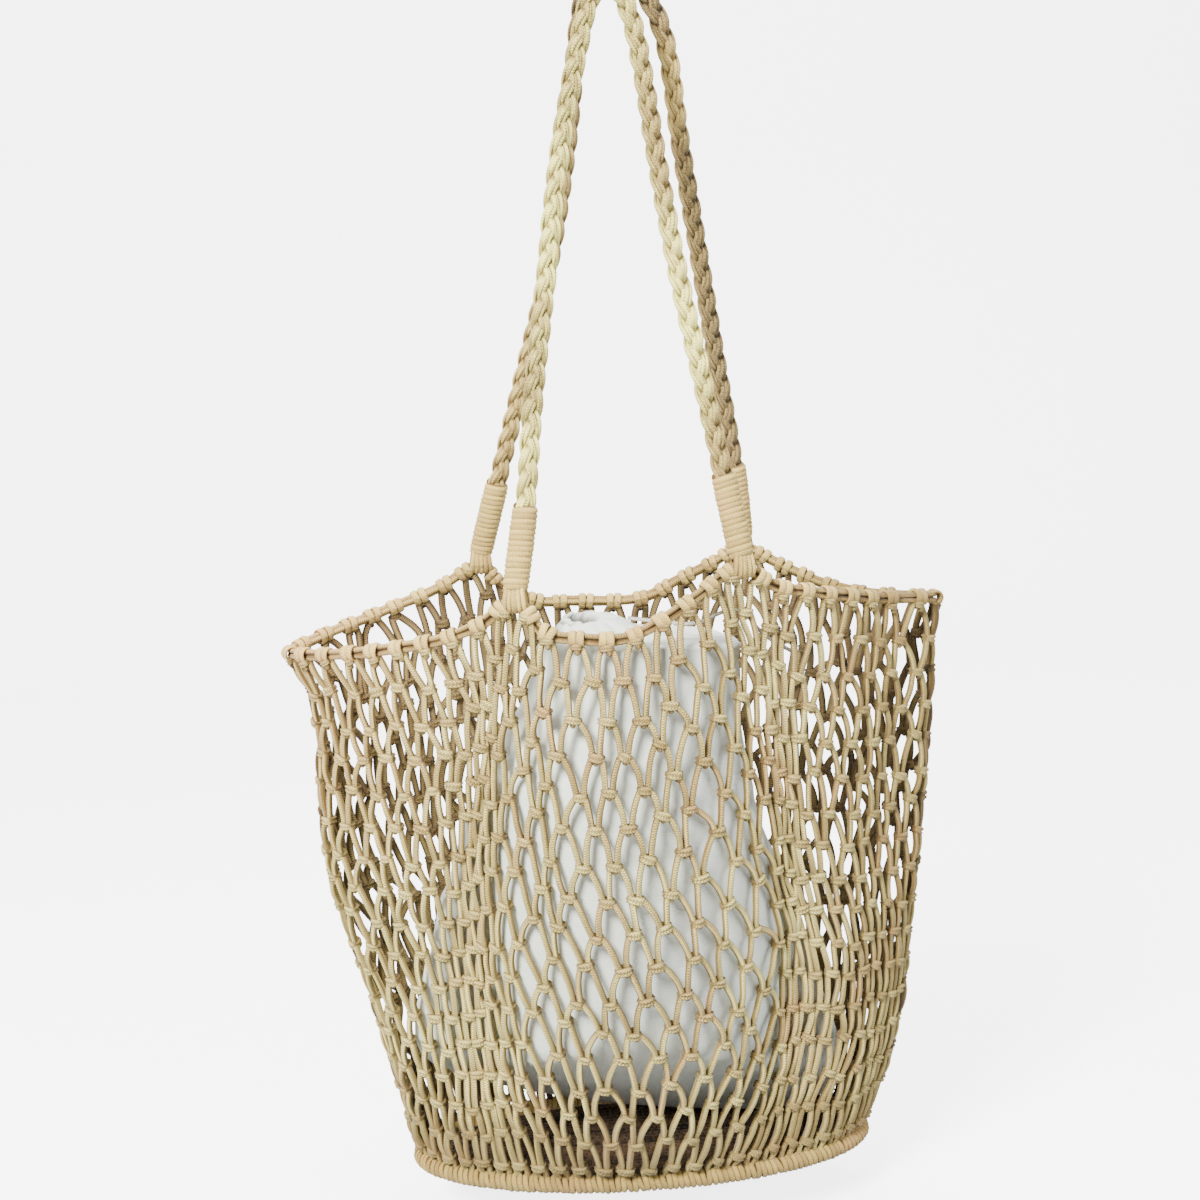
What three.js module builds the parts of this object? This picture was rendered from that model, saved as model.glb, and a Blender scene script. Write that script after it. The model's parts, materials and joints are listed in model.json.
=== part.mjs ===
// A string shopping bag: a knotted net of braided cotton cord on an oval base, hanging open from two
// plaited shoulder straps, with a gathered cloth liner standing inside it.
// Millimetres, +Z up, front of the bag toward -Y. The origin is the point where the straps hang.
import * as THREE from 'three';

// Driving dimensions of the net
const RIM_HALF_LENGTH = 186;
const RIM_HALF_DEPTH = 68;
const RIM_DROP = 343; // from the hanging point down to the rim between its peaks
const PEAK_LIFT = 33; // how far the straps pull the rim up
const RIM_CORD = 5.6; // bundle of cords that the net is knotted onto
const BAG_HEIGHT = 324.5; // from the rim down to the middle of the base ring
const NET_THICKNESS = 4; // braided cord of the net
const FOLD_DEPTH = 16;
const BELLY = 14; // how far the middle of the front bulges over the liner
const FULLNESS = 10; // how far both faces round out

// Driving dimensions of the base
const BASE_HALF_LENGTH = 133;
const BASE_HALF_DEPTH = 55;
const BASE_OFFSET_X = 2;
const BASE_OFFSET_Y = 10;
const BASE_RING = 11;
const PANEL_THICKNESS = 4;

// Driving dimensions of the straps
const STRAP_WIDTH = 12;
const STRAP_THICKNESS = 9;
const STRAP_NECK = 0.72; // share of its section that a strap keeps inside its whipping
const STRAP_STEP = 14; // height between the hanging tops of the two straps
const STRAP_SPACING = 7; // from the hanging point to either strap, front to back
const WHIPPING_LENGTH = 44;
const WHIPPING_WALL = 2.6;
const LOOP_WALL = 3.2;
const LOOP_COLUMNS = 0.5; // how far the loops reach along the rim to each side

// Driving dimensions of the liner
const LINER_HALF_LENGTH = 118;
const LINER_HALF_DEPTH = 62;
const LINER_HEIGHT = 331;
const LINER_WALL = 1.2;
const LINER_STANDOFF = NET_THICKNESS / 2 + 6; // from the net's middle surface to the cloth
const LINER_OFFSET_X = -4;
const LINER_OFFSET_Y = -18;
const PLEATS = 14;
const PLEAT_DEPTH = 1.6;
const PLEAT_FADE = 6; // how fast the pleats die out going down
const PLEAT_EASE = 4; // how fast they start as the mouth opens
const DRAWSTRING = 2.2;

const CLEARANCE = 0.3; // between pieces that touch on the real bag
const COLUMNS = 54; // lark's heads round the rim, and so columns of knots
const GAP_COLUMNS = 2; // columns that one gap of the modelled net spans
const GAP_ROWS = 4;
const GAP_SPREAD = 0.74; // width of a gap as a share of its cell
const GAP_RISE = 0.9; // height of a gap as a share of its cell
const GAP_SHOULDER = 0.56; // width of a gap half way to its tip, as a share of its width
const BAND_HEIGHT = 5; // solid band under the rim
const NEAR_EDGE = 0.02; // share of the way down at which the lean of the net's edges is taken
const SWELL_POWER = 0.8; // below 1 the net rounds out sooner going down from its rim
const NORMAL_COLUMNS = 0.2; // steps over which the net's slope is measured
const NORMAL_DOWN = 0.02;

// Sides of the modelled cords
const THIN_SIDES = 6;
const CORD_SIDES = 8;
const WHIPPING_SIDES = 10;
const DRAWSTRING_STEPS = 24;

const COTTON = new THREE.MeshStandardMaterial({ color: '#d9c79f', roughness: 0.9, metalness: 0 });
const COTTON_DARK = new THREE.MeshStandardMaterial({ color: '#b79f74', roughness: 0.9, metalness: 0 });
const CLOTH = new THREE.MeshStandardMaterial({ color: '#edeee6', roughness: 0.85, metalness: 0 });

// The rim seen from above, counted in columns from the left end along the front and back again:
// places as shares of the rim's half length, its half depth and the peak lift
const RIM_COURSE = [
  { column: 0, along: -1.02, across: 0.07, lift: -0.42 },
  { column: 3.4, along: -0.8, across: -0.44, lift: -0.26 },
  { column: 6.6, along: -0.56, across: -0.79, lift: 0.03 },
  { column: 8.1, along: -0.44, across: -0.88, lift: 0.29 },
  { column: 9.5, along: -0.336, across: -0.91, lift: 0.65 },
  { column: 10.9, along: -0.258, across: -1, lift: 0.15 },
  { column: 12.1, along: -0.161, across: -1.06, lift: 0.04 },
  { column: 13.7, along: -0.027, across: -1.07, lift: 0.03 },
  { column: 15, along: 0.075, across: -1.03, lift: 0.26 },
  { column: 16.6, along: 0.194, across: -0.94, lift: 0.64 },
  { column: 17.5, along: 0.255, across: -0.88, lift: 0.88 },
  { column: 18.5, along: 0.32, across: -0.84, lift: 1.01 },
  { column: 19.7, along: 0.423, across: -0.75, lift: 0.65 },
  { column: 21.2, along: 0.535, across: -0.62, lift: 0.48 },
  { column: 23, along: 0.67, across: -0.41, lift: 0.29 },
  { column: 25, along: 0.81, across: -0.18, lift: 0.14 },
  { column: 27, along: 0.973, across: 0.07, lift: 0.03 },
  { column: 29.9, along: 0.77, across: 0.41, lift: 0.05 },
  { column: 31.4, along: 0.65, across: 0.59, lift: 0.21 },
  { column: 33.2, along: 0.527, across: 0.73, lift: 0.53 },
  { column: 34.5, along: 0.414, across: 0.81, lift: 0.84 },
  { column: 35.8, along: 0.328, across: 0.85, lift: 0.59 },
  { column: 37.3, along: 0.215, across: 0.93, lift: 0.26 },
  { column: 39, along: 0.086, across: 0.97, lift: -0.07 },
  { column: 41.6, along: -0.145, across: 0.99, lift: -0.07 },
  { column: 43, along: -0.258, across: 0.97, lift: -0.02 },
  { column: 44.7, along: -0.385, across: 0.91, lift: 0.45 },
  { column: 45.5, along: -0.428, across: 0.9, lift: 0.72 },
  { column: 47.2, along: -0.565, across: 0.88, lift: 0.33 },
  { column: 48.8, along: -0.694, across: 0.81, lift: 0.07 },
  { column: 50.5, along: -0.817, across: 0.65, lift: -0.12 },
  { column: 52.2, along: -0.94, across: 0.4, lift: -0.29 },
];

// How far the net has gone over from the rim's outline to the base's, going down
const TAPER = [
  { down: 0, left: 0, right: 0, depth: 0 },
  { down: 0.07, left: 0.17, right: 0.05, depth: 0.06 },
  { down: 0.15, left: 0.22, right: 0.07, depth: 0.1 },
  { down: 0.28, left: 0.22, right: 0.14, depth: 0.14 },
  { down: 0.42, left: 0.26, right: 0.22, depth: 0.2 },
  { down: 0.55, left: 0.42, right: 0.32, depth: 0.3 },
  { down: 0.7, left: 0.64, right: 0.44, depth: 0.48 },
  { down: 0.85, left: 0.82, right: 0.62, depth: 0.72 },
  { down: 1, left: 1, right: 1, depth: 1 },
];

// Where columns of the front lie at four heights, in columns of the outline: they crowd beside the
// folds and spread over the belly
const GATHERS = [
  { column: 0, rim: 0, upper: 0, lower: 0, base: 0 },
  { column: 3, rim: 3, upper: 3.3, lower: 3.3, base: 3 },
  { column: 6, rim: 6, upper: 6, lower: 5.7, base: 6 },
  { column: 9, rim: 9, upper: 8.6, lower: 8.5, base: 9 },
  { column: 12, rim: 12, upper: 11.7, lower: 12.5, base: 12.2 },
  { column: 15, rim: 15, upper: 15.3, lower: 16.9, base: 15.5 },
  { column: 18, rim: 18, upper: 18.9, lower: 20.7, base: 18.5 },
  { column: 21, rim: 21, upper: 21.7, lower: 23.3, base: 21.5 },
  { column: 24, rim: 24, upper: 24.5, lower: 25.4, base: 24.3 },
  { column: 27, rim: 27, upper: 27, lower: 27, base: 27 },
];
const GATHER_LEVELS = [
  { level: 'rim', down: 0 },
  { level: 'upper', down: 0.4 },
  { level: 'lower', down: 0.7 },
  { level: 'base', down: 1 },
];

// The two folds of the front, under the front straps
const FOLDS = [
  { top: 9.3, bottom: 7, width: 1.5 },
  { top: 18.8, bottom: 20.6, width: 1.7 },
];
const FOLD_SETTLED = 0.6; // how far down a fold has reached its lower place
const BELLY_COLUMN = 13.2;
const BELLY_WIDTH = 5;

// The four places where a strap holds the rim, and the courses of the straps above them:
// drop and spread as shares of the way from the strap's top to the rim
const PEAKS = [
  { name: 'front_left', column: 9.5, leg: 'frontLeft' },
  { name: 'front_right', column: 18.5, leg: 'frontRight' },
  { name: 'back_right', column: 34.5, leg: 'backRight' },
  { name: 'back_left', column: 45.5, leg: 'backLeft' },
];
const STRAP_COURSE = [
  { drop: 0, frontLeft: 0, frontRight: 0, backLeft: 0, backRight: 0 },
  { drop: 0.03, frontLeft: 0.12, frontRight: 0.16, backLeft: 0.1, backRight: 0.14 },
  { drop: 0.12, frontLeft: 0.25, frontRight: 0.31, backLeft: 0.2, backRight: 0.34 },
  { drop: 0.3, frontLeft: 0.46, frontRight: 0.48, backLeft: 0.31, backRight: 0.52 },
  { drop: 0.5, frontLeft: 0.62, frontRight: 0.63, backLeft: 0.47, backRight: 0.66 },
  { drop: 0.7, frontLeft: 0.78, frontRight: 0.77, backLeft: 0.68, backRight: 0.82 },
  { drop: 0.85, frontLeft: 0.87, frontRight: 0.88, backLeft: 0.84, backRight: 0.93 },
  { drop: 1, frontLeft: 1, frontRight: 1, backLeft: 1, backRight: 1 },
];

// The liner from its gathered mouth over the shoulder to the bottom, as shares of its height, half
// length and half depth
const LINER_SECTIONS = [
  { down: 0.01, length: 0.1, depth: 0.11, x: -0.12, y: -0.3 },
  { down: 0, length: 0.15, depth: 0.18, x: -0.12, y: -0.3 },
  { down: 0.013, length: 0.26, depth: 0.4, x: -0.08, y: -0.32 },
  { down: 0.055, length: 0.39, depth: 0.56, x: -0.05, y: -0.26 },
  { down: 0.155, length: 0.51, depth: 0.74, x: -0.01, y: -0.16 },
  { down: 0.32, length: 0.67, depth: 0.92, x: -0.08, y: -0.12 },
  { down: 0.53, length: 0.83, depth: 0.98, x: -0.07, y: -0.1 },
  { down: 0.74, length: 0.95, depth: 0.92, x: 0, y: 0.04 },
  { down: 0.89, length: 1, depth: 0.62, x: 0.08, y: 0.42 },
  { down: 0.965, length: 0.93, depth: 0.42, x: 0.1, y: 0.66 },
  { down: 1, length: 0.74, depth: 0.26, x: 0.11, y: 0.76 },
];

// The route of the drawstring, chosen by hand, from the liner's mouth over its shoulder to its end
const DRAWSTRING_ROUTE = [
  [-1, -40, -332.7],
  [7, -43, -332.3],
  [15, -45.5, -334.7],
  [23, -47.5, -338],
  [30, -49, -340.6],
  [38, -49, -339.6],
  [46, -48, -336.6],
  [54, -46, -334.6],
  [61, -43, -336.2],
  [66, -40, -341],
  [71, -37, -347.4],
  [77, -34, -353.4],
  [84, -30.5, -358.4],
  [91, -26.5, -363],
];

const { clamp, lerp } = THREE.MathUtils;

// Smooth interpolation of the named values of a table whose rows are sorted by the key
function lookUp(table, key, place, names) {
  const last = table.length - 2;
  const found = table.findIndex((row) => row[key] > place) - 1;
  const i = clamp(found < -1 ? last : found, 0, last);
  const slope = (name, j) => {
    const before = table[Math.max(j - 1, 0)];
    const after = table[Math.min(j + 1, table.length - 1)];
    return (after[name] - before[name]) / (after[key] - before[key]);
  };
  const step = table[i + 1][key] - table[i][key];
  const t = (place - table[i][key]) / step;
  return names.map((name) => {
    const slopes = [slope(name, i), slope(name, i + 1)];
    return hermite(t, step, table[i][name], table[i + 1][name], ...slopes);
  });
}

function hermite(t, step, start, end, slopeStart, slopeEnd) {
  const square = t * t;
  const cube = square * t;
  const bend = (cube - 2 * square + t) * step * slopeStart + (cube - square) * step * slopeEnd;
  return (2 * cube - 3 * square + 1) * start + (3 * square - 2 * cube) * end + bend;
}

// One more row before and after a closed course, so that it interpolates across its seam
function unrolled(course) {
  const shifted = (row, columns) => ({ ...row, column: row.column + columns });
  const before = course.slice(-2).map((row) => shifted(row, -COLUMNS));
  const after = course.slice(0, 2).map((row) => shifted(row, COLUMNS));
  return [...before, ...course, ...after];
}

const RIM_TABLE = unrolled(RIM_COURSE);

function rimPoint(column) {
  const place = ((column % COLUMNS) + COLUMNS) % COLUMNS;
  const [along, across, lift] = lookUp(RIM_TABLE, 'column', place, ['along', 'across', 'lift']);
  return new THREE.Vector3(along * RIM_HALF_LENGTH, across * RIM_HALF_DEPTH, lift * PEAK_LIFT - RIM_DROP);
}

// The base ring's middle line, an ellipse with columns at equal lengths of arc
const BASE_ARC = new THREE.EllipseCurve(0, 0, BASE_HALF_LENGTH, BASE_HALF_DEPTH, Math.PI, 3 * Math.PI);
const BASE_Z = -RIM_DROP - BAG_HEIGHT;

function basePoint(column) {
  const place = ((column % COLUMNS) + COLUMNS) % COLUMNS;
  const flat = BASE_ARC.getPointAt(place / COLUMNS);
  return new THREE.Vector3(flat.x + BASE_OFFSET_X, flat.y + BASE_OFFSET_Y, BASE_Z);
}

// The place on the outline of a column of the net, which drifts going down
function gatheredColumn(column, down) {
  if (column >= COLUMNS / 2) return column;
  const levels = GATHER_LEVELS.map(({ level, down: at }) => {
    const [place] = lookUp(GATHERS, 'column', column, [level]);
    return { down: at, place };
  });
  return lookUp(levels, 'down', down, ['place'])[0];
}

const bell = (offset, width) => Math.exp(-((offset / width) ** 2));

// The middle surface of the net, from the rim (down 0) to the base ring (down 1)
function netPoint(column, down) {
  const wrapped = ((column % COLUMNS) + COLUMNS) % COLUMNS;
  const place = gatheredColumn(wrapped, down);
  const rim = rimPoint(place);
  const base = basePoint(place);
  const [left, right, depth] = lookUp(TAPER, 'down', down, ['left', 'right', 'depth']);
  const side = 0.5 - 0.5 * clamp(rim.x / RIM_HALF_LENGTH, -1, 1);
  const swell = Math.sin(Math.PI * clamp(down, 0, 1)) ** SWELL_POWER;
  const x = lerp(rim.x, base.x, side * left + (1 - side) * right);
  const angle = Math.sin((2 * Math.PI * place) / COLUMNS);
  let y = lerp(rim.y, base.y, depth);
  y -= Math.sign(angle) * Math.sqrt(Math.abs(angle)) * FULLNESS * swell;
  if (place < COLUMNS / 2) {
    for (const fold of FOLDS) {
      const middle = lerp(fold.top, fold.bottom, Math.min(1, down / FOLD_SETTLED));
      y += FOLD_DEPTH * swell * bell(place - middle, fold.width);
    }
    y -= BELLY * swell * bell(place - BELLY_COLUMN, BELLY_WIDTH);
  }
  const z = lerp(rimPoint(wrapped).z, BASE_Z, down);
  return new THREE.Vector3(x, y, z);
}

function netNormal(column, down) {
  const around = netPoint(column + NORMAL_COLUMNS, down).sub(netPoint(column - NORMAL_COLUMNS, down));
  const along = netPoint(column, down + NORMAL_DOWN).sub(netPoint(column, down - NORMAL_DOWN));
  return along.cross(around).normalize();
}

// Collects vertices and faces of one closed solid
class Solid {
  constructor() {
    this.points = [];
    this.faces = [];
  }

  vertex(point) {
    this.points.push(point.x, point.y, point.z);
    return this.points.length / 3 - 1;
  }

  triangle(a, b, c) {
    this.faces.push(a, b, c);
  }

  quad(a, b, c, d) {
    this.triangle(a, b, c);
    this.triangle(a, c, d);
  }

  volume() {
    const corner = (i) => new THREE.Vector3().fromArray(this.points, i * 3);
    let sum = 0;
    for (let i = 0; i < this.faces.length; i += 3) {
      const [a, b, c] = this.faces.slice(i, i + 3).map(corner);
      sum += a.dot(b.cross(c)) / 6;
    }
    return sum;
  }

  // The geometry, with its faces turned outward
  geometry() {
    if (this.volume() < 0) this.faces.reverse();
    const geometry = new THREE.BufferGeometry();
    geometry.setAttribute('position', new THREE.Float32BufferAttribute(this.points, 3));
    geometry.setIndex(this.faces);
    geometry.computeVertexNormals();
    return geometry;
  }
}

// Joins two rings of vertices with a strip of faces
function strip(solid, ring, next) {
  const count = ring.length;
  for (let i = 0; i < count; i += 1) {
    const j = (i + 1) % count;
    solid.quad(ring[i], ring[j], next[j], next[i]);
  }
}

function cap(solid, ring, centre) {
  const hub = solid.vertex(centre);
  ring.forEach((vertex, i) => solid.triangle(vertex, hub, ring[(i + 1) % ring.length]));
}

function centreOf(ring) {
  const sum = new THREE.Vector3();
  for (const point of ring) sum.add(point);
  return sum.divideScalar(ring.length);
}

// A solid through a row of rings, closed on itself or capped at both ends
function sweptSolid(rings, closed) {
  const solid = new Solid();
  const placed = rings.map((ring) => ring.map((point) => solid.vertex(point)));
  for (let i = 0; i + 1 < placed.length; i += 1) strip(solid, placed[i], placed[i + 1]);
  if (closed) {
    strip(solid, placed.at(-1), placed[0]);
  } else {
    cap(solid, placed[0], centreOf(rings[0]));
    cap(solid, [...placed.at(-1)].reverse(), centreOf(rings.at(-1)));
  }
  return solid.geometry();
}

// A sleeve through rows of outer and inner rings, open at both ends
function sleeveSolid(outerRings, innerRings) {
  const solid = new Solid();
  const outer = outerRings.map((ring) => ring.map((point) => solid.vertex(point)));
  const inner = innerRings.map((ring) => ring.map((point) => solid.vertex(point)));
  for (let i = 0; i + 1 < outer.length; i += 1) {
    strip(solid, outer[i], outer[i + 1]);
    strip(solid, inner[i + 1], inner[i]);
  }
  strip(solid, inner[0], outer[0]);
  strip(solid, outer.at(-1), inner.at(-1));
  return solid.geometry();
}

// An oval ring of points square to a path, wide along the given side direction
function ovalRing(point, tangent, side, halfWidth, halfThickness, sides) {
  const across = side.clone().addScaledVector(tangent, -side.dot(tangent)).normalize();
  const out = new THREE.Vector3().crossVectors(tangent, across);
  return Array.from({ length: sides }, (_, i) => {
    const angle = (2 * Math.PI * (i + 0.5)) / sides;
    const ring = point.clone().addScaledVector(across, Math.cos(angle) * halfWidth);
    return ring.addScaledVector(out, Math.sin(angle) * halfThickness);
  });
}

function pathTangents(points, closed) {
  const count = points.length;
  return points.map((_, i) => {
    const before = closed ? points[(i + count - 1) % count] : points[Math.max(i - 1, 0)];
    const after = closed ? points[(i + 1) % count] : points[Math.min(i + 1, count - 1)];
    return after.clone().sub(before).normalize();
  });
}

const UP = new THREE.Vector3(0, 0, 1);
const RIM_STATIONS = Array.from({ length: COLUMNS * 2 }, (_, i) => i / 2); // two for each column
const RIM_PATH = RIM_STATIONS.map(rimPoint);
const RIM_TANGENTS = pathTangents(RIM_PATH, true);

function rimCord() {
  const half = RIM_CORD / 2;
  const rings = RIM_PATH.map((point, i) => ovalRing(point, RIM_TANGENTS[i], UP, half, half, THIN_SIDES));
  return sweptSolid(rings, true);
}

// How far an edge of the leaning net wall rises above or falls below its middle surface
const lean = (column, down) => (Math.abs(netNormal(column, down).z) * NET_THICKNESS) / 2;

const loopOuter = RIM_CORD / 2 + CLEARANCE + LOOP_WALL;
const atPeak = (column) => PEAKS.some((peak) => Math.abs(peak.column - column) <= LOOP_COLUMNS + 1e-6);

// How far below the rim's middle line the net starts, so that it clears the bundle on slopes too,
// and the strap's loops at the peaks
function rimSeat(station) {
  const count = RIM_PATH.length;
  const here = RIM_PATH[station % count];
  const level = [1, count - 1].map((step) => {
    const along = RIM_PATH[(station + step) % count].clone().sub(here).normalize();
    return Math.hypot(along.x, along.y);
  });
  const radius = atPeak(station / 2) ? loopOuter : RIM_CORD / 2;
  return (radius + CLEARANCE) / Math.min(...level) + lean(station / 2, NEAR_EDGE);
}

// The net: a wall with diamond gaps in staggered rows, under a narrow band at the rim
function netWall() {
  const solid = new Solid();
  const height = (column) => rimPoint(column).z - BASE_Z;
  const places = new Map();
  const pair = (column, down) => {
    const wrapped = ((column % COLUMNS) + COLUMNS) % COLUMNS;
    const name = `${wrapped.toFixed(3)} ${down.toFixed(5)}`;
    if (!places.has(name)) {
      const middle = netPoint(wrapped, down);
      const normal = netNormal(wrapped, down).multiplyScalar(NET_THICKNESS / 2);
      const outer = solid.vertex(middle.clone().add(normal));
      const inner = solid.vertex(middle.clone().sub(normal));
      places.set(name, { outer, inner });
    }
    return places.get(name);
  };
  const faceBoth = (a, b, c) => {
    solid.triangle(a.outer, b.outer, c.outer);
    solid.triangle(a.inner, c.inner, b.inner);
  };
  const edge = (a, b) => solid.quad(a.outer, b.outer, b.inner, a.inner);
  const seats = RIM_STATIONS.map((_, station) => rimSeat(station));
  const topDown = (station) => seats[station % seats.length] / height(station / 2);
  const seatAt = (column) => {
    const place = (column * 2 + seats.length) % seats.length;
    const station = Math.floor(place);
    return lerp(seats[station], seats[(station + 1) % seats.length], place - station);
  };
  const bandDown = (column) => (seatAt(column) + BAND_HEIGHT) / height(column);
  const ringSeat = (column) => BASE_RING / 2 + CLEARANCE + lean(column, 1 - NEAR_EDGE);
  const bottomDown = (column) => 1 - ringSeat(column) / height(column);
  const rowDown = (column, row) =>
    lerp(bandDown(column), bottomDown(column), row / GAP_ROWS);
  for (let column = 0; column < COLUMNS; column += 1) {
    const top = [0, 1, 2].map((half) => pair(column + half / 2, topDown(column * 2 + half)));
    const left = pair(column, bandDown(column));
    const right = pair(column + 1, bandDown(column + 1));
    faceBoth(top[0], left, top[1]);
    faceBoth(top[1], left, right);
    faceBoth(top[1], right, top[2]);
    edge(top[0], top[1]);
    edge(top[1], top[2]);
    edge(pair(column + 1, bottomDown(column + 1)), pair(column, bottomDown(column)));
  }
  for (let row = 0; row < GAP_ROWS; row += 1) {
    for (let cell = 0; cell < COLUMNS / GAP_COLUMNS; cell += 1) {
      const middle = cell * GAP_COLUMNS + (row % 2) * (GAP_COLUMNS / 2) + GAP_COLUMNS / 2;
      netCell(middle, row, rowDown, pair, faceBoth, edge);
    }
  }
  return solid.geometry();
}

// One cell of the net: eight faces between its border and its diamond gap
function netCell(middle, row, rowDown, pair, faceBoth, edge) {
  const corners = [
    { x: 0, y: -1 },
    { x: 1, y: -1 },
    { x: 1, y: 0 },
    { x: 1, y: 1 },
    { x: 0, y: 1 },
    { x: -1, y: 1 },
    { x: -1, y: 0 },
    { x: -1, y: -1 },
  ];
  const at = (x, y) => {
    const column = middle + (x * GAP_COLUMNS) / 2;
    return pair(column, rowDown(column, row + 0.5 + y / 2));
  };
  const border = corners.map(({ x, y }) => at(x, y));
  const gap = corners.map(({ x, y }) => {
    const slanted = x !== 0 && y !== 0;
    const width = GAP_SPREAD * (slanted ? GAP_SHOULDER : 1);
    const rise = GAP_RISE / (slanted ? 2 : 1);
    return at(x * width, y * rise);
  });
  border.forEach((corner, i) => {
    const next = (i + 1) % border.length;
    faceBoth(corner, gap[i], border[next]);
    faceBoth(border[next], gap[i], gap[next]);
    edge(gap[next], gap[i]);
  });
}

const BASE_PATH = Array.from({ length: COLUMNS }, (_, column) => basePoint(column));

function baseRing() {
  const tangents = pathTangents(BASE_PATH, true);
  const half = BASE_RING / 2;
  const rings = BASE_PATH.map((point, i) => ovalRing(point, tangents[i], UP, half, half, CORD_SIDES));
  return sweptSolid(rings, true);
}

function basePanel() {
  const inset = BASE_RING / 2 + CLEARANCE;
  const tangents = pathTangents(BASE_PATH, true);
  const outline = BASE_PATH.map((point, i) => {
    const inward = new THREE.Vector3().crossVectors(UP, tangents[i]);
    return point.clone().addScaledVector(inward, inset);
  });
  const level = (offset) => outline.map((point) => point.clone().setZ(BASE_Z + offset));
  return sweptSolid([level(-PANEL_THICKNESS / 2), level(PANEL_THICKNESS / 2)], false);
}

// The front strap's underside passes through the height of the hanging point, the back strap's above it
function strapTop(back) {
  const rise = STRAP_WIDTH / 2 + (back ? STRAP_STEP : 0);
  return new THREE.Vector3(0, back ? STRAP_SPACING : -STRAP_SPACING, rise);
}

// A point of one strap leg at a share of the way down, ending on the loops over the rim
function strapPoint(peak, drop) {
  const top = strapTop(peak.name.startsWith('back'));
  const foot = rimPoint(peak.column);
  foot.z += loopOuter + CLEARANCE;
  const [spread] = lookUp(STRAP_COURSE, 'drop', drop, [peak.leg]);
  return new THREE.Vector3(
    lerp(top.x, foot.x, spread),
    lerp(top.y, foot.y, drop),
    lerp(top.z, foot.z, drop),
  );
}

const strapLength = (peak) => strapPoint(peak, 0).distanceTo(strapPoint(peak, 1));
const whippingTop = (peak) => 1 - WHIPPING_LENGTH / strapLength(peak);

// Sections of a strap leg above its whipping, close together where it bends over its top
const STRAP_SECTIONS = 16;
const STRAP_DROPS = Array.from({ length: STRAP_SECTIONS }, (_, i) => {
  const share = (i + 1) / STRAP_SECTIONS;
  return share * lerp(share, 1, 0.25) * 0.85;
});
const STRAP_MIN_STEP = 0.02; // share of the way down that is left above the last of these sections
const WHIPPING_STEPS = 4;

// Shares of the way down a leg at which its section is set, with equal steps inside the whipping
function legDrops(peak) {
  const start = whippingTop(peak);
  const shoulder = start - STRAP_WIDTH / strapLength(peak) / 2;
  const inside = Array.from({ length: WHIPPING_STEPS + 1 }, (_, i) => lerp(start, 1, i / WHIPPING_STEPS));
  const above = STRAP_DROPS.filter((drop) => drop < shoulder - STRAP_MIN_STEP);
  return [...above, shoulder, ...inside];
}

// The flat side of a strap faces the front, so its width lies across the bag
const sideways = (tangent) => new THREE.Vector3(tangent.z, 0, -tangent.x);

// The plait narrows where it goes into the whipping
function strapSection(peak, drop) {
  return drop > whippingTop(peak) - 1e-6 ? STRAP_NECK : 1;
}

// Rings round the narrowed end of a strap leg, larger than it by a distance
function legRings(peak, grow, drops) {
  const points = drops.map((drop) => strapPoint(peak, drop));
  const tangents = pathTangents(points, false);
  return points.map((point, i) => {
    const halfWidth = (STRAP_WIDTH / 2) * STRAP_NECK + grow;
    const halfThickness = (STRAP_THICKNESS / 2) * STRAP_NECK + grow;
    return ovalRing(point, tangents[i], sideways(tangents[i]), halfWidth, halfThickness, WHIPPING_SIDES);
  });
}

// One plaited strap, up from its left foot, over its top and down to its right foot
function strap(leftPeak, rightPeak) {
  const leftDrops = legDrops(leftPeak);
  const rightDrops = legDrops(rightPeak);
  const stations = [
    ...leftDrops.toReversed().map((drop) => ({ peak: leftPeak, drop })),
    { peak: leftPeak, drop: 0 },
    ...rightDrops.map((drop) => ({ peak: rightPeak, drop })),
  ];
  const points = stations.map(({ peak, drop }) => strapPoint(peak, drop));
  const tangents = pathTangents(points, false);
  const rings = points.map((point, i) => {
    const scale = strapSection(stations[i].peak, stations[i].drop);
    const halfWidth = (STRAP_WIDTH / 2) * scale;
    const halfThickness = (STRAP_THICKNESS / 2) * scale;
    return ovalRing(point, tangents[i], sideways(tangents[i]), halfWidth, halfThickness, CORD_SIDES);
  });
  return sweptSolid(rings, false);
}

// The whipping: turns of thin cord round the end of a strap
function whipping(peak) {
  const drops = legDrops(peak).slice(-WHIPPING_STEPS - 1);
  const bore = legRings(peak, CLEARANCE, drops);
  const outside = legRings(peak, CLEARANCE + WHIPPING_WALL, drops);
  return sleeveSolid(outside, bore);
}

// The loops of the strap's cords that pass round the rim under its whipping
function rimLoops(peak) {
  const middle = Math.round(peak.column * 2);
  const reach = Math.round(LOOP_COLUMNS * 2);
  const stations = Array.from({ length: 2 * reach + 1 }, (_, i) => middle - reach + i);
  const rings = (radius) =>
    stations.map((i) => ovalRing(RIM_PATH[i], RIM_TANGENTS[i], UP, radius, radius, CORD_SIDES));
  return sleeveSolid(rings(loopOuter), rings(RIM_CORD / 2 + CLEARANCE));
}

const LINER_Z = BASE_Z + PANEL_THICKNESS / 2 + CLEARANCE;

const FACE_HALVINGS = 12;

// How far back the net's front face lies, or its rear face, at a place across the bag and a height
function netFace(x, z, rear) {
  const placed = (column) => {
    const top = rimPoint(column).z;
    return netPoint(column, clamp((top - z) / (top - BASE_Z), 0, 1));
  };
  let left = rear ? COLUMNS : 0;
  let right = COLUMNS / 2;
  for (let halving = 0; halving < FACE_HALVINGS; halving += 1) {
    const middle = (left + right) / 2;
    if (placed(middle).x < x) left = middle;
    else right = middle;
  }
  return placed(right).y;
}

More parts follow.
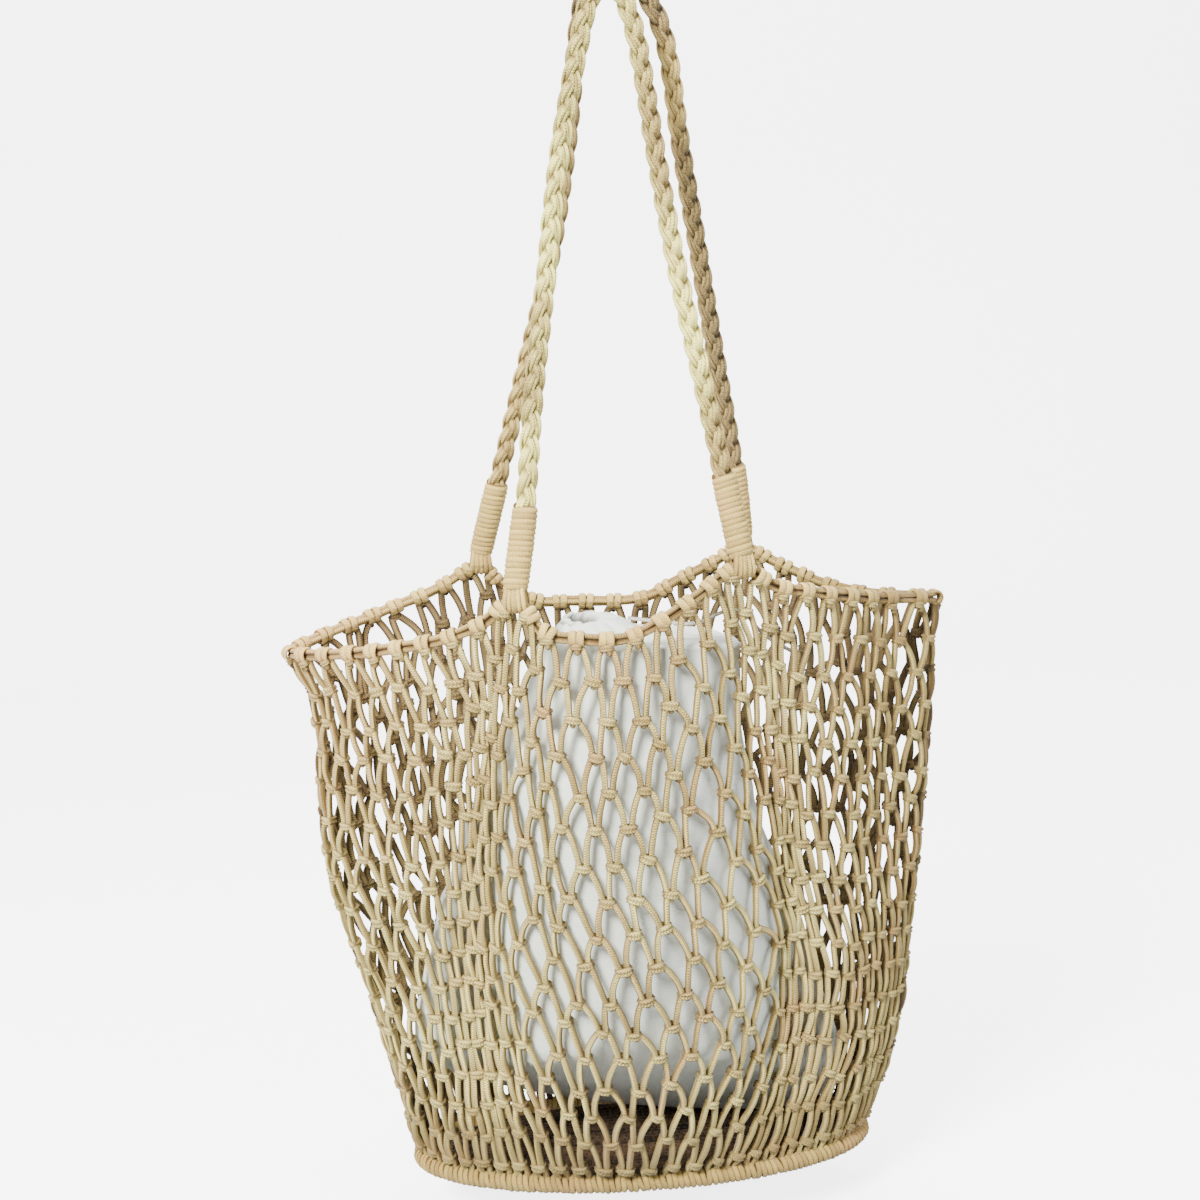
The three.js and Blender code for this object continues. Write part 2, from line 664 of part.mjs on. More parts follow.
// Keeps a point of the liner between the faces of the net that it presses on
function insideNet(point) {
  const front = netFace(point.x, point.z, false) + LINER_STANDOFF;
  const rear = netFace(point.x, point.z, true) - LINER_STANDOFF;
  return point.setY(clamp(point.y, front, Math.max(front, rear)));
}

function linerRing(row) {
  const count = PLEATS * 2;
  const deep = PLEAT_DEPTH * Math.exp(-row.down * PLEAT_FADE) * Math.min(1, row.length * PLEAT_EASE);
  return Array.from({ length: count }, (_, i) => {
    const angle = (2 * Math.PI * i) / count;
    const pleat = i % 2 ? deep : -deep;
    const halfLength = row.length * LINER_HALF_LENGTH + pleat;
    const halfDepth = row.depth * LINER_HALF_DEPTH + pleat;
    const x = LINER_OFFSET_X + row.x * LINER_HALF_LENGTH + Math.cos(angle) * halfLength;
    const y = LINER_OFFSET_Y + row.y * LINER_HALF_DEPTH + Math.sin(angle) * halfDepth;
    return insideNet(new THREE.Vector3(x, y, LINER_Z + (1 - row.down) * LINER_HEIGHT));
  });
}

// The liner: a pouch with its mouth drawn in, its wall set inward square to its outside
function liner() {
  const rows = LINER_SECTIONS.map(linerRing);
  const count = rows[0].length;
  const normal = (row, i) => {
    const above = rows[Math.max(row - 1, 0)][i];
    const below = rows[Math.min(row + 1, rows.length - 1)][i];
    const around = rows[row][(i + 1) % count].clone().sub(rows[row][(i + count - 1) % count]);
    const out = around.cross(above.clone().sub(below)).normalize();
    return row === rows.length - 1 ? out.sub(UP).normalize() : out;
  };
  const solid = new Solid();
  const outer = rows.map((ring) => ring.map((point) => solid.vertex(point)));
  const inset = (point, row, i) => point.clone().addScaledVector(normal(row, i), -LINER_WALL);
  const inner = rows.map((ring, row) => ring.map((point, i) => solid.vertex(inset(point, row, i))));
  for (let row = 0; row + 1 < rows.length; row += 1) {
    strip(solid, outer[row], outer[row + 1]);
    strip(solid, inner[row + 1], inner[row]);
  }
  strip(solid, inner[0], outer[0]);
  const bottom = centreOf(rows.at(-1));
  cap(solid, [...outer.at(-1)].reverse(), bottom);
  cap(solid, inner.at(-1), bottom.clone().setZ(bottom.z + LINER_WALL));
  return solid.geometry();
}

function drawstring() {
  const route = new THREE.CatmullRomCurve3(DRAWSTRING_ROUTE.map((point) => new THREE.Vector3(...point)));
  const points = route.getSpacedPoints(DRAWSTRING_STEPS);
  const tangents = pathTangents(points, false);
  const half = DRAWSTRING / 2;
  const rings = points.map((point, i) => ovalRing(point, tangents[i], UP, half, half, CORD_SIDES));
  return sweptSolid(rings, false);
}

const bag = new THREE.Group();

function add(name, geometry, material) {
  const mesh = new THREE.Mesh(geometry, material);
  mesh.name = name;
  bag.add(mesh);
}

const [frontLeft, frontRight, backRight, backLeft] = PEAKS;
add('net_wall', netWall(), COTTON);
add('rim_cord', rimCord(), COTTON);
add('base_ring', baseRing(), COTTON);
add('base_panel', basePanel(), COTTON_DARK);
add('handle_front', strap(frontLeft, frontRight), COTTON);
add('handle_back', strap(backLeft, backRight), COTTON);
for (const peak of PEAKS) {
  add(`handle_wrap_${peak.name}`, whipping(peak), COTTON);
  add(`handle_loop_${peak.name}`, rimLoops(peak), COTTON);
}
add('liner', liner(), CLOTH);
add('liner_drawstring', drawstring(), CLOTH);

export default bag;
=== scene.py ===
"""A string shopping bag of knotted cotton cord, hanging open from its two plaited straps.

Metres, +Z up, the front of the bag towards -Y, the origin where the straps hang. The pieces are laid out from
tables of shares, as the solids are that they replace. The straps' course, the left fold, the liner's mouth
and bottom and the drawstring's start lie a little differently from the solids'.
"""
import functools
import json
import math

import bmesh
import bpy
import numpy as np
from mathutils import Matrix, Vector

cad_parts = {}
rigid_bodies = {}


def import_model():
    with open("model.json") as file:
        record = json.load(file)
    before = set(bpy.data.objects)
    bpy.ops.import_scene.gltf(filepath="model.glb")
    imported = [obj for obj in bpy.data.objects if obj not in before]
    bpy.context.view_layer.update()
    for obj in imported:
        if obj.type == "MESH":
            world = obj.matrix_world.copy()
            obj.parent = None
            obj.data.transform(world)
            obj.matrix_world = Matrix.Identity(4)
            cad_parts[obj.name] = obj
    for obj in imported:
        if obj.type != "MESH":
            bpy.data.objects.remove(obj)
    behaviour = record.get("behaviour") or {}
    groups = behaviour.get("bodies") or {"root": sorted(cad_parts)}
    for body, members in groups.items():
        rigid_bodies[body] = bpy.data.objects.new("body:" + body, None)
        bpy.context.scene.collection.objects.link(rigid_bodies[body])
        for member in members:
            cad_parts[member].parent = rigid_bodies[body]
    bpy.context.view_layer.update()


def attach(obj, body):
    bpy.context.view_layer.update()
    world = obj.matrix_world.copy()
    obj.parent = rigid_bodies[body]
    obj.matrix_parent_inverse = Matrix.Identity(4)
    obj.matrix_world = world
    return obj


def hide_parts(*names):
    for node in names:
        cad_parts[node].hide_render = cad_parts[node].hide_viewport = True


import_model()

# Driving sizes of the net and its rim, the same as the solids'
COLUMNS = 54
KNOT_ROWS = 16
RIM_HALF_LENGTH = 0.186
RIM_HALF_DEPTH = 0.068
RIM_DROP = 0.343
PEAK_LIFT = 0.033
BAG_HEIGHT = 0.3245
FOLD_DEPTH = 0.016
BELLY = 0.014
FULLNESS = 0.010
BASE_HALF_LENGTH = 0.133
BASE_HALF_DEPTH = 0.055
BASE_OFFSET = (0.002, 0.010)
BASE_RING = 0.011
BASE_Z = -RIM_DROP - BAG_HEIGHT
PANEL_THICKNESS = 0.004

# Cords
NET_CORD = 0.004
HOLDING_CORD = 0.0032
RING_WRAP = 0.0034
STRAP_CORD = 0.0029
WHIPPING_CORD = 0.0029
DRAWSTRING = 0.0022

# Straps
STRAP_WIDTH = 0.012
STRAP_STEP = 0.014
STRAP_SPACING = 0.007
WHIPPING_LENGTH = 0.044
STRAND_PERIOD = 0.039

RIM_COURSE = (
    ("column", "along", "across", "lift"),
    (0, -1.02, 0.07, -0.42),
    (3.4, -0.8, -0.44, -0.26),
    (6.6, -0.56, -0.79, 0.03),
    (8.1, -0.44, -0.88, 0.29),
    (9.5, -0.336, -0.91, 0.65),
    (10.9, -0.258, -1, 0.15),
    (12.1, -0.161, -1.06, 0.04),
    (13.7, -0.027, -1.07, 0.03),
    (15, 0.075, -1.03, 0.26),
    (16.6, 0.194, -0.94, 0.64),
    (17.5, 0.255, -0.88, 0.88),
    (18.5, 0.32, -0.84, 1.01),
    (19.7, 0.423, -0.75, 0.65),
    (21.2, 0.535, -0.62, 0.48),
    (23, 0.67, -0.41, 0.29),
    (25, 0.81, -0.18, 0.14),
    (27, 0.973, 0.07, 0.03),
    (29.9, 0.77, 0.41, 0.05),
    (31.4, 0.65, 0.59, 0.21),
    (33.2, 0.527, 0.73, 0.53),
    (34.5, 0.414, 0.81, 0.84),
    (35.8, 0.328, 0.85, 0.59),
    (37.3, 0.215, 0.93, 0.26),
    (39, 0.086, 0.97, -0.07),
    (41.6, -0.145, 0.99, -0.07),
    (43, -0.258, 0.97, -0.02),
    (44.7, -0.385, 0.91, 0.45),
    (45.5, -0.428, 0.9, 0.72),
    (47.2, -0.565, 0.88, 0.33),
    (48.8, -0.694, 0.81, 0.07),
    (50.5, -0.817, 0.65, -0.12),
    (52.2, -0.94, 0.4, -0.29),
)
TAPER = (
    ("down", "left", "right", "depth"),
    (0, 0, 0, 0),
    (0.07, 0.17, 0.05, 0.06),
    (0.15, 0.22, 0.07, 0.1),
    (0.28, 0.22, 0.14, 0.14),
    (0.42, 0.26, 0.22, 0.2),
    (0.55, 0.42, 0.32, 0.3),
    (0.7, 0.64, 0.44, 0.48),
    (0.85, 0.82, 0.62, 0.72),
    (1, 1, 1, 1),
)
GATHERS = (
    ("column", "rim", "upper", "lower", "base"),
    (0, 0, 0, 0, 0),
    (3, 3, 3.3, 3.3, 3),
    (6, 6, 6, 5.7, 6),
    (9, 9, 8.6, 8.5, 9),
    (12, 12, 11.7, 12.5, 12.2),
    (15, 15, 15.3, 16.9, 15.5),
    (18, 18, 18.9, 20.7, 18.5),
    (21, 21, 21.7, 23.3, 21.5),
    (24, 24, 24.5, 25.4, 24.3),
    (27, 27, 27, 27, 27),
)
GATHER_LEVELS = (0, 0.4, 0.7, 1)
UP = np.array([0.0, 0.0, 1.0])
FOLDS = ({"top": 8.4, "bottom": 6.6, "width": 1.5}, {"top": 18.8, "bottom": 20.6, "width": 1.7})
FOLD_SETTLED = 0.6
FOLD_PULL = 0.48  # how much closer columns lie in the middle of a fold
FOLD_PULL_WIDTH = 2.6
FOLD_PULL_START = 0.12
FOLD_PULL_END = 0.6
BELLY_COLUMN = 13.2
BELLY_WIDTH = 5
SWELL_POWER = 0.8

PEAKS = {
    "front_left": 9.5,
    "front_right": 18.5,
    "back_right": 34.5,
    "back_left": 45.5,
}
STRAP_COURSE = (
    ("drop", "front_left", "front_right", "back_left", "back_right"),
    (0, 0, 0, 0, 0),
    (0.03, 0.12, 0.15, 0.08, 0.19),
    (0.12, 0.25, 0.27, 0.17, 0.42),
    (0.3, 0.46, 0.385, 0.265, 0.54),
    (0.5, 0.62, 0.53, 0.42, 0.68),
    (0.7, 0.78, 0.72, 0.65, 0.82),
    (0.85, 0.87, 0.86, 0.825, 0.93),
    (1, 1, 1, 1, 1),
)
SIDES = ("front", "back")

# Camera and stage
PHOTO_SIZE = 1200
CAMERA_PLACE = (-0.0831, -0.9976, -0.1575)
CAMERA_AZIMUTH = -4
CAMERA_PITCH = 10
CAMERA_ROLL = -2
FOCAL_PIXELS = 1786
SENSOR = 36
FLOOR_Z = -0.705


def linked(name, data):
    """A new object of the scene with its data."""
    made = bpy.data.objects.new(name, data)
    bpy.context.scene.collection.objects.link(made)
    return made


def make_camera():
    data = bpy.data.cameras.new("camera")
    data.sensor_width = SENSOR
    data.lens = FOCAL_PIXELS / PHOTO_SIZE * SENSOR
    data.clip_start = 0.05
    camera = linked("camera", data)
    azimuth, pitch, roll = (math.radians(a) for a in (CAMERA_AZIMUTH, CAMERA_PITCH, CAMERA_ROLL))
    level = Vector((-math.sin(azimuth), math.cos(azimuth), 0))
    forward = level * math.cos(pitch) - Vector((0, 0, math.sin(pitch)))
    right = Vector((math.cos(azimuth), math.sin(azimuth), 0))
    up = right.cross(forward)
    across = right * math.cos(roll) + up * math.sin(roll)
    above = up * math.cos(roll) - right * math.sin(roll)
    turn = Matrix((across, above, -forward)).transposed()
    camera.matrix_world = Matrix.Translation(CAMERA_PLACE) @ turn.to_4x4()
    bpy.context.scene.camera = camera


def slopes(keys, values):
    """Slope of each column of a table at each of its rows, from the rows before and after."""
    rows = len(keys)
    before = np.maximum(np.arange(rows) - 1, 0)
    after = np.minimum(np.arange(rows) + 1, rows - 1)
    return (values[after] - values[before]) / (keys[after] - keys[before])[:, None]


def hermite(t, start, end, leave, arrive):
    """A cubic from start to end with given slopes at both, over a step of one."""
    square, cube = t * t, t * t * t
    bend = (cube - 2 * square + t) * leave + (cube - square) * arrive
    return (2 * cube - 3 * square + 1) * start + (3 * square - 2 * cube) * end + bend


def look_up(keys, values, places):
    """Smooth interpolation of all columns of a table at an array of places."""
    places = np.atleast_1d(np.asarray(places, float))
    keys, values = np.asarray(keys, float), np.asarray(values, float)
    slope = slopes(keys, values)
    i = np.clip(np.searchsorted(keys, places, side="right") - 1, 0, len(keys) - 2)
    step = (keys[i + 1] - keys[i])[:, None]
    t = (places - keys[i])[:, None] / step
    return hermite(t, values[i], values[i + 1], step * slope[i], step * slope[i + 1])


def numbers(table):
    """The keys and the other columns of a table whose first row names its columns."""
    rows = np.array(table[1:], float)
    return rows[:, 0], rows[:, 1:]


def unrolled(table):
    """The rim's table with two more rows on both sides of its seam."""
    keys, values = numbers(table)
    keys = np.concatenate([keys[-2:] - COLUMNS, keys, keys[:2] + COLUMNS])
    return keys, np.concatenate([values[-2:], values, values[:2]])


RIM_TABLE = unrolled(RIM_COURSE)
TAPER_TABLE = numbers(TAPER)
GATHER_TABLE = numbers(GATHERS)


def rim_point(columns):
    along, across, lift = look_up(*RIM_TABLE, np.mod(columns, COLUMNS)).T
    height = lift * PEAK_LIFT - RIM_DROP
    return np.stack([along * RIM_HALF_LENGTH, across * RIM_HALF_DEPTH, height], axis=-1)


def ellipse_arc(samples=4000):
    """Angles and lengths of arc round the base, from its left end along the front."""
    angle = np.linspace(math.pi, 3 * math.pi, samples + 1)
    x, y = BASE_HALF_LENGTH * np.cos(angle), BASE_HALF_DEPTH * np.sin(angle)
    steps = np.hypot(np.diff(x), np.diff(y))
    return angle, np.concatenate([[0], np.cumsum(steps)])


BASE_ANGLE, BASE_LENGTH = ellipse_arc()


def base_point(columns, inset=0.0):
    share = np.mod(np.atleast_1d(columns), COLUMNS) / COLUMNS
    angle = np.interp(share * BASE_LENGTH[-1], BASE_LENGTH, BASE_ANGLE)
    x = (BASE_HALF_LENGTH - inset) * np.cos(angle) + BASE_OFFSET[0]
    y = (BASE_HALF_DEPTH - inset) * np.sin(angle) + BASE_OFFSET[1]
    return np.stack([x, y, np.full_like(x, BASE_Z)], axis=-1)


def gathered(columns, down):
    """Where columns of the front lie on the outline at a height, which drifts going down."""
    levels = np.array(GATHER_LEVELS, float)
    places = look_up(*GATHER_TABLE, columns).T
    slope = slopes(levels, places)
    i = np.clip(np.searchsorted(levels, down, side="right") - 1, 0, len(levels) - 2)
    each = np.arange(len(columns))
    step = levels[i + 1] - levels[i]
    t = (down - levels[i]) / step
    ends = places[i, each], places[i + 1, each]
    moved = hermite(t, *ends, step * slope[i, each], step * slope[i + 1, each])
    return np.where(columns < COLUMNS / 2, moved, columns)


def side_of(column):
    return "front" if column % COLUMNS < COLUMNS / 2 else "back"


def bell(offset, width):
    return np.exp(-((offset / width) ** 2))


def fold_middle(fold, down):
    return fold["top"] + (fold["bottom"] - fold["top"]) * np.minimum(1, down / FOLD_SETTLED)


def drawn_in(place, down):
    """Moves places on the outline towards the middle of the nearest fold, except at the rim and the base."""
    past_end = np.clip((down - FOLD_PULL_END) / (1 - FOLD_PULL_END), 0, 1)
    fade = np.minimum(1, down / FOLD_PULL_START) * (1 - past_end)
    moved = place
    for fold in FOLDS:
        offset = place - fold_middle(fold, down)
        moved = moved - FOLD_PULL * fade * offset * bell(offset, FOLD_PULL_WIDTH)
    return np.where(place < COLUMNS / 2, moved, place)


def net_point(columns, down):
    """The middle surface of the net, from the rim (down 0) to the base ring (down 1)."""
    columns = np.atleast_1d(np.asarray(columns, float))
    down = np.broadcast_to(np.asarray(down, float), columns.shape)
    wrapped = np.mod(columns, COLUMNS)
    place = drawn_in(gathered(wrapped, down), down)
    rim, base = rim_point(place), base_point(place)
    left, right, depth = look_up(*TAPER_TABLE, down).T
    side = 0.5 - 0.5 * np.clip(rim[:, 0] / RIM_HALF_LENGTH, -1, 1)
    swell = np.sin(math.pi * np.clip(down, 0, 1)) ** SWELL_POWER
    gone = side * left + (1 - side) * right
    x = rim[:, 0] * (1 - gone) + base[:, 0] * gone
    y = rim[:, 1] * (1 - depth) + base[:, 1] * depth
    angle = np.sin(2 * math.pi * place / COLUMNS)
    y -= np.sign(angle) * np.sqrt(np.abs(angle)) * FULLNESS * swell
    front = place < COLUMNS / 2
    for fold in FOLDS:
        offset = place - fold_middle(fold, down)
        y += np.where(front, FOLD_DEPTH * swell * bell(offset, fold["width"]), 0)
    y -= np.where(front, BELLY * swell * bell(place - BELLY_COLUMN, BELLY_WIDTH), 0)
    z = rim_point(wrapped)[:, 2] * (1 - down) + BASE_Z * down
    return np.stack([x, y, z], axis=-1)


def unit(vectors):
    return vectors / np.maximum(np.linalg.norm(vectors, axis=-1, keepdims=True), 1e-12)


def net_axes(columns, down, step=0.2, drop=0.02):
    """Across, out of the bag and up along the net, as three arrays of unit vectors."""
    around = net_point(columns + step, down) - net_point(columns - step, down)
    along = net_point(columns, down + drop) - net_point(columns, down - drop)
    up = unit(-along)
    out = unit(np.cross(along, around))
    return unit(np.cross(up, out)), out, up


# Node helpers
def feed(tree, socket, value):
    """Gives a socket a link or a plain value."""
    if isinstance(value, bpy.types.NodeSocket):
        tree.links.new(value, socket)
    else:
        socket.default_value = value


def node(tree, kind, sockets=None, **settings):
    """Adds a node, with its settings and its sockets' values or links."""
    made = tree.nodes.new(kind)
    for name, value in settings.items():
        setattr(made, name, value)
    for name, value in (sockets or {}).items():
        feed(tree, made.inputs[name], value)
    return made


def new_group(kind, name, inputs, outputs):
    """A node group with its given inputs (label, kind, a first value if any) and results (label, kind)."""
    tree = bpy.data.node_groups.new(name, kind)
    for label, socket_kind, *value in inputs:
        socket = tree.interface.new_socket(label, in_out="INPUT", socket_type="NodeSocket" + socket_kind)
        if value:
            socket.default_value = value[0]
    for label, socket_kind in outputs:
        tree.interface.new_socket(label, in_out="OUTPUT", socket_type="NodeSocket" + socket_kind)
    return tree, tree.nodes.new("NodeGroupInput").outputs, tree.nodes.new("NodeGroupOutput").inputs


def geometry_group(name, special):
    """A group that makes one geometry of another, with a material and one special input."""
    ends = [("Geometry", "Geometry")]
    return new_group("GeometryNodeTree", name, [*ends, special, ("Material", "Material")], ends)


def named(tree, name, kind="FLOAT"):
    return node(tree, "GeometryNodeInputNamedAttribute", {"Name": name}, data_type=kind).outputs[0]


def finish_group(tree, geometry, material, result):
    """Smooth faces, instances made real and the material set, then the group's result."""
    smooth = node(tree, "GeometryNodeSetShadeSmooth", {"Geometry": geometry}).outputs[0]
    real = node(tree, "GeometryNodeRealizeInstances", {"Geometry": smooth}).outputs[0]
    clad = node(tree, "GeometryNodeSetMaterial", {"Geometry": real, "Material": material}).outputs[0]
    tree.links.new(clad, result[0])


def swept_cord_group():
    """Sweeps a round cord along every run of edges; the runs give its thickness, tone and length."""
    tree, given, result = geometry_group("swept cord", ("Sides", "Int"))
    runs = node(tree, "GeometryNodeMeshToCurve", {"Mesh": given["Geometry"]}).outputs[0]
    circle = node(tree, "GeometryNodeCurvePrimitiveCircle",
                  {"Resolution": given["Sides"], "Radius": 1.0}).outputs[0]
    section = tree.nodes.new("GeometryNodeInputPosition").outputs[0]
    marked = node(tree, "GeometryNodeStoreNamedAttribute",
                  {"Geometry": circle, "Name": "round", "Value": section},
                  data_type="FLOAT_VECTOR", domain="POINT").outputs[0]
    swept = node(tree, "GeometryNodeCurveToMesh",
                 {"Curve": runs, "Profile Curve": marked, "Scale": named(tree, "thickness"),
                  "Fill Caps": True}).outputs[0]
    finish_group(tree, swept, given["Material"], result)
    return tree


def placed_copies_group():
    """Puts a pattern on every point, turned and scaled as the points say, one of a few by number."""
    tree, given, result = geometry_group("placed copies", ("Patterns", "Collection"))
    patterns = node(tree, "GeometryNodeCollectionInfo",
                    {"Collection": given["Patterns"], "Separate Children": True,
                     "Reset Children": True}).outputs[0]
    copies = node(tree, "GeometryNodeInstanceOnPoints",
                  {"Points": given["Geometry"], "Instance": patterns, "Pick Instance": True,
                   "Instance Index": named(tree, "pattern", "INT"),
                   "Rotation": named(tree, "turn", "QUATERNION"),
                   "Scale": named(tree, "size", "FLOAT_VECTOR")}).outputs[0]
    finish_group(tree, copies, given["Material"], result)
    return tree


SWEPT_CORD = swept_cord_group()
PLACED_COPIES = placed_copies_group()


def mark_facing(mesh):
    """Stores how squarely each point faces away from the core of its cord, 0 on its flanks; the cotton tone
    paints shade on the flanks from it.
    """
    count = len(mesh.vertices)
    read = {name: np.zeros(3 * count) for name in ("co", "normal", "core")}
    mesh.vertices.foreach_get("co", read["co"])
    mesh.vertices.foreach_get("normal", read["normal"])
    mesh.attributes["core"].data.foreach_get("vector", read["core"])
    mesh.attributes.remove(mesh.attributes["core"])
    places, normals, cores = (values.reshape(-1, 3) for values in read.values())
    attribute(mesh, "facing", "FLOAT", np.abs((normals * unit(places - cores)).sum(axis=1)))


def made_plain(name, draft, tree, values):
    """Runs a tree on a draft mesh and keeps the result as a plain mesh object."""
    holder = linked(name + " draft", draft)
    modifier = holder.modifiers.new("make", "NODES")
    modifier.node_group = tree
    for item in tree.interface.items_tree:
        if item.item_type == "SOCKET" and item.in_out == "INPUT" and item.name in values:
            modifier[item.identifier] = values[item.name]
    graph = bpy.context.evaluated_depsgraph_get()
    mesh = bpy.data.meshes.new_from_object(holder.evaluated_get(graph))
    mesh.name = name
    mark_facing(mesh)
    piece = linked(name, mesh)
    bpy.data.objects.remove(holder)
    bpy.data.meshes.remove(draft)
    return piece


def attribute(mesh, name, kind, values):
    held = mesh.attributes.new(name, kind, "POINT")
    field = "vector" if kind == "FLOAT_VECTOR" else "value"
    held.data.foreach_set(field, np.ascontiguousarray(values).ravel())


class Runs:
    """Collects the middle lines of cords, open or closed, with their thickness and tone."""

    def __init__(self):
        self.points, self.edges, self.cores = [], [], []
        self.marks = {name: [] for name in ("thickness", "along", "tone", "deep")}
        self.count = 0

    def add(self, points, diameter, core, tone=0.5, deep=0.0, closed=False):
        """core is what the cord's outer side faces away from, for the painted shade on its flanks; the shade
        value darkens it with further painted shade, up to 1.
        """
        points = np.asarray(points, float)
        n = len(points)
        steps = np.linalg.norm(np.diff(points, axis=0), axis=1)
        first = self.count + np.arange(n - 1)
        edges = np.stack([first, first + 1], axis=1)
        if closed:
            edges = np.concatenate([edges, [[self.count + n - 1, self.count]]])
        self.points.append(points)
        self.edges.append(edges)
        self.cores.append(np.broadcast_to(core, (n, 3)))
        given = {"thickness": np.asarray(diameter, float) / 2, "tone": tone, "deep": deep,
                 "along": np.concatenate([[0], np.cumsum(steps)])}
        for name, values in given.items():
            self.marks[name].append(np.broadcast_to(values, (n,)))
        self.count += n

    def sweep(self, name, material, sides=8):
        draft = bpy.data.meshes.new(name + " runs")
        points, edges = np.concatenate(self.points), np.concatenate(self.edges)
        draft.from_pydata(points.tolist(), edges.tolist(), [])
        attribute(draft, "core", "FLOAT_VECTOR", np.concatenate(self.cores))
        for mark, values in self.marks.items():
            attribute(draft, mark, "FLOAT", np.concatenate(values))
        return made_plain(name, draft, SWEPT_CORD, {"Sides": sides, "Material": material})


class Copies:
    """Collects the places of copies: each has a point, three axes, a core, a size, a pattern and a tone."""

    MARKS = (("turn", "QUATERNION"), ("core", "FLOAT_VECTOR"), ("size", "FLOAT_VECTOR"), ("pattern", "INT"),
             ("tone", "FLOAT"))

    def __init__(self):
        self.rows = []

    def add(self, point, axes, core, size=(1, 1, 1), pattern=0, tone=0.5):
        turn = Matrix([list(map(float, axis)) for axis in axes]).transposed().to_quaternion()
        self.rows.append((point, tuple(turn), core, size, pattern, tone))

    def place(self, name, material, patterns):
        points, *marks = (np.array(column) for column in zip(*self.rows))
        draft = bpy.data.meshes.new(name + " places")
        draft.from_pydata(points.tolist(), [], [])
        for (mark, kind), values in zip(self.MARKS, marks):
            attribute(draft, mark, kind, values)
        return made_plain(name, draft, PLACED_COPIES, {"Patterns": patterns, "Material": material})


# Patterns that are copied along the net and its edges
KNOT_HALF_WIDTH = 0.0035
KNOT_HALF_DEPTH = 0.0021
KNOT_HALF_HEIGHT = 0.0025
KNOT_RISE = 0.0020
KNOT_ENDS = (0.22, 0.25)  # how much lower and thinner a knot gets at its two ends
KNOT_STATIONS = 12
# The last column is painted shade: darker at a knot's lower and upper edges and in the groove between its
# turns.
KNOT_SECTION = (
    ("height", "rise", "deep"),
    (-1.0, 0.1, 0.8),
    (-0.88, 0.7, 0.1),
    (-0.5, 0.95, 0.0),
    (-0.04, 0.42, 0.75),
    (0.42, 1.0, 0.0),
    (0.88, 0.75, 0.0),
    (1.0, 0.1, 0.6),
    (0.0, -0.5, 0.0),
)
KNOT_LEANS = (0.15, 0.45, -0.15, 0.6)  # how far the groove between a knot's turns climbs across it
RING_STATIONS = 14
RING_SIDES = 7


def add_pattern(patterns, name, points, along, rounds, deep):
    """A closed band through stations of a section, with the marks that the braid follows."""
    stations, sides = points.shape[:2]
    faces = []
    for i in range(stations):
        for j in range(sides):
            here, there = i * sides, (i + 1) % stations * sides
            after = (j + 1) % sides
            faces.append((here + j, there + j, there + after, here + after))
    mesh = bpy.data.meshes.new(name)
    mesh.from_pydata(points.reshape(-1, 3).tolist(), [], faces)
    attribute(mesh, "along", "FLOAT", np.repeat(along, sides))
    marks = np.stack([np.cos(rounds), np.sin(rounds), np.zeros(sides)], axis=-1)
    attribute(mesh, "round", "FLOAT_VECTOR", np.tile(marks, (stations, 1)))
    attribute(mesh, "deep", "FLOAT", np.tile(deep, stations))
    face_outward(mesh)
    patterns.objects.link(bpy.data.objects.new(name, mesh))


def face_outward(mesh):
    edit = bmesh.new()
    edit.from_mesh(mesh)
    bmesh.ops.recalc_face_normals(edit, faces=edit.faces)
    edit.to_mesh(mesh)
    edit.free()


def knot_patterns():
    """Bands of two turns of cord round a pair of upright cords, each leaning another way."""
    patterns = bpy.data.collections.new("knots")
    heights, rises = numbers(KNOT_SECTION)
    rise, deep = rises.T
    angle = np.linspace(0, 2 * math.pi, KNOT_STATIONS, endpoint=False)
    x, y = KNOT_HALF_WIDTH * np.cos(angle), KNOT_HALF_DEPTH * np.sin(angle)
    normal = unit(np.stack([np.cos(angle) / KNOT_HALF_WIDTH, np.sin(angle) / KNOT_HALF_DEPTH], axis=-1))
    sides = len(heights)
    for number, lean in enumerate(KNOT_LEANS):
        end = np.abs(np.cos(angle))[:, None] ** 3
        proud = rise * KNOT_RISE * (1 - KNOT_ENDS[1] * end)
        points = np.zeros((KNOT_STATIONS, sides, 3))
        points[..., 0] = x[:, None] + normal[:, :1] * proud
        points[..., 1] = y[:, None] + normal[:, 1:] * proud
        inner = 1 - np.abs(heights)
        climb = -lean * inner * np.cos(angle)[:, None] * np.where(y < 0, 1, -1)[:, None]
        points[..., 2] = (heights + climb) * KNOT_HALF_HEIGHT * (1 - KNOT_ENDS[0] * end)
        along = angle * KNOT_HALF_WIDTH
        rounds = np.arange(sides) * 4 * math.pi / sides
        add_pattern(patterns, f"knot {number}", points, along, rounds, deep)
    return patterns


def ring_pattern(name, radius, cord, flat=1.0):
    """One turn of cord round a bundle that runs along X."""
    patterns = bpy.data.collections.new(name)
    angle = np.linspace(0, 2 * math.pi, RING_STATIONS, endpoint=False)
    around = np.linspace(0, 2 * math.pi, RING_SIDES, endpoint=False)
    reach = radius + np.cos(around) * cord / 2 * flat
    points = np.zeros((RING_STATIONS, RING_SIDES, 3))
    points[..., 0] = np.sin(around) * cord / 2
    points[..., 1] = np.cos(angle)[:, None] * reach
    points[..., 2] = np.sin(angle)[:, None] * reach
    add_pattern(patterns, name, points, angle * radius, around, np.zeros(RING_SIDES))
    return patterns


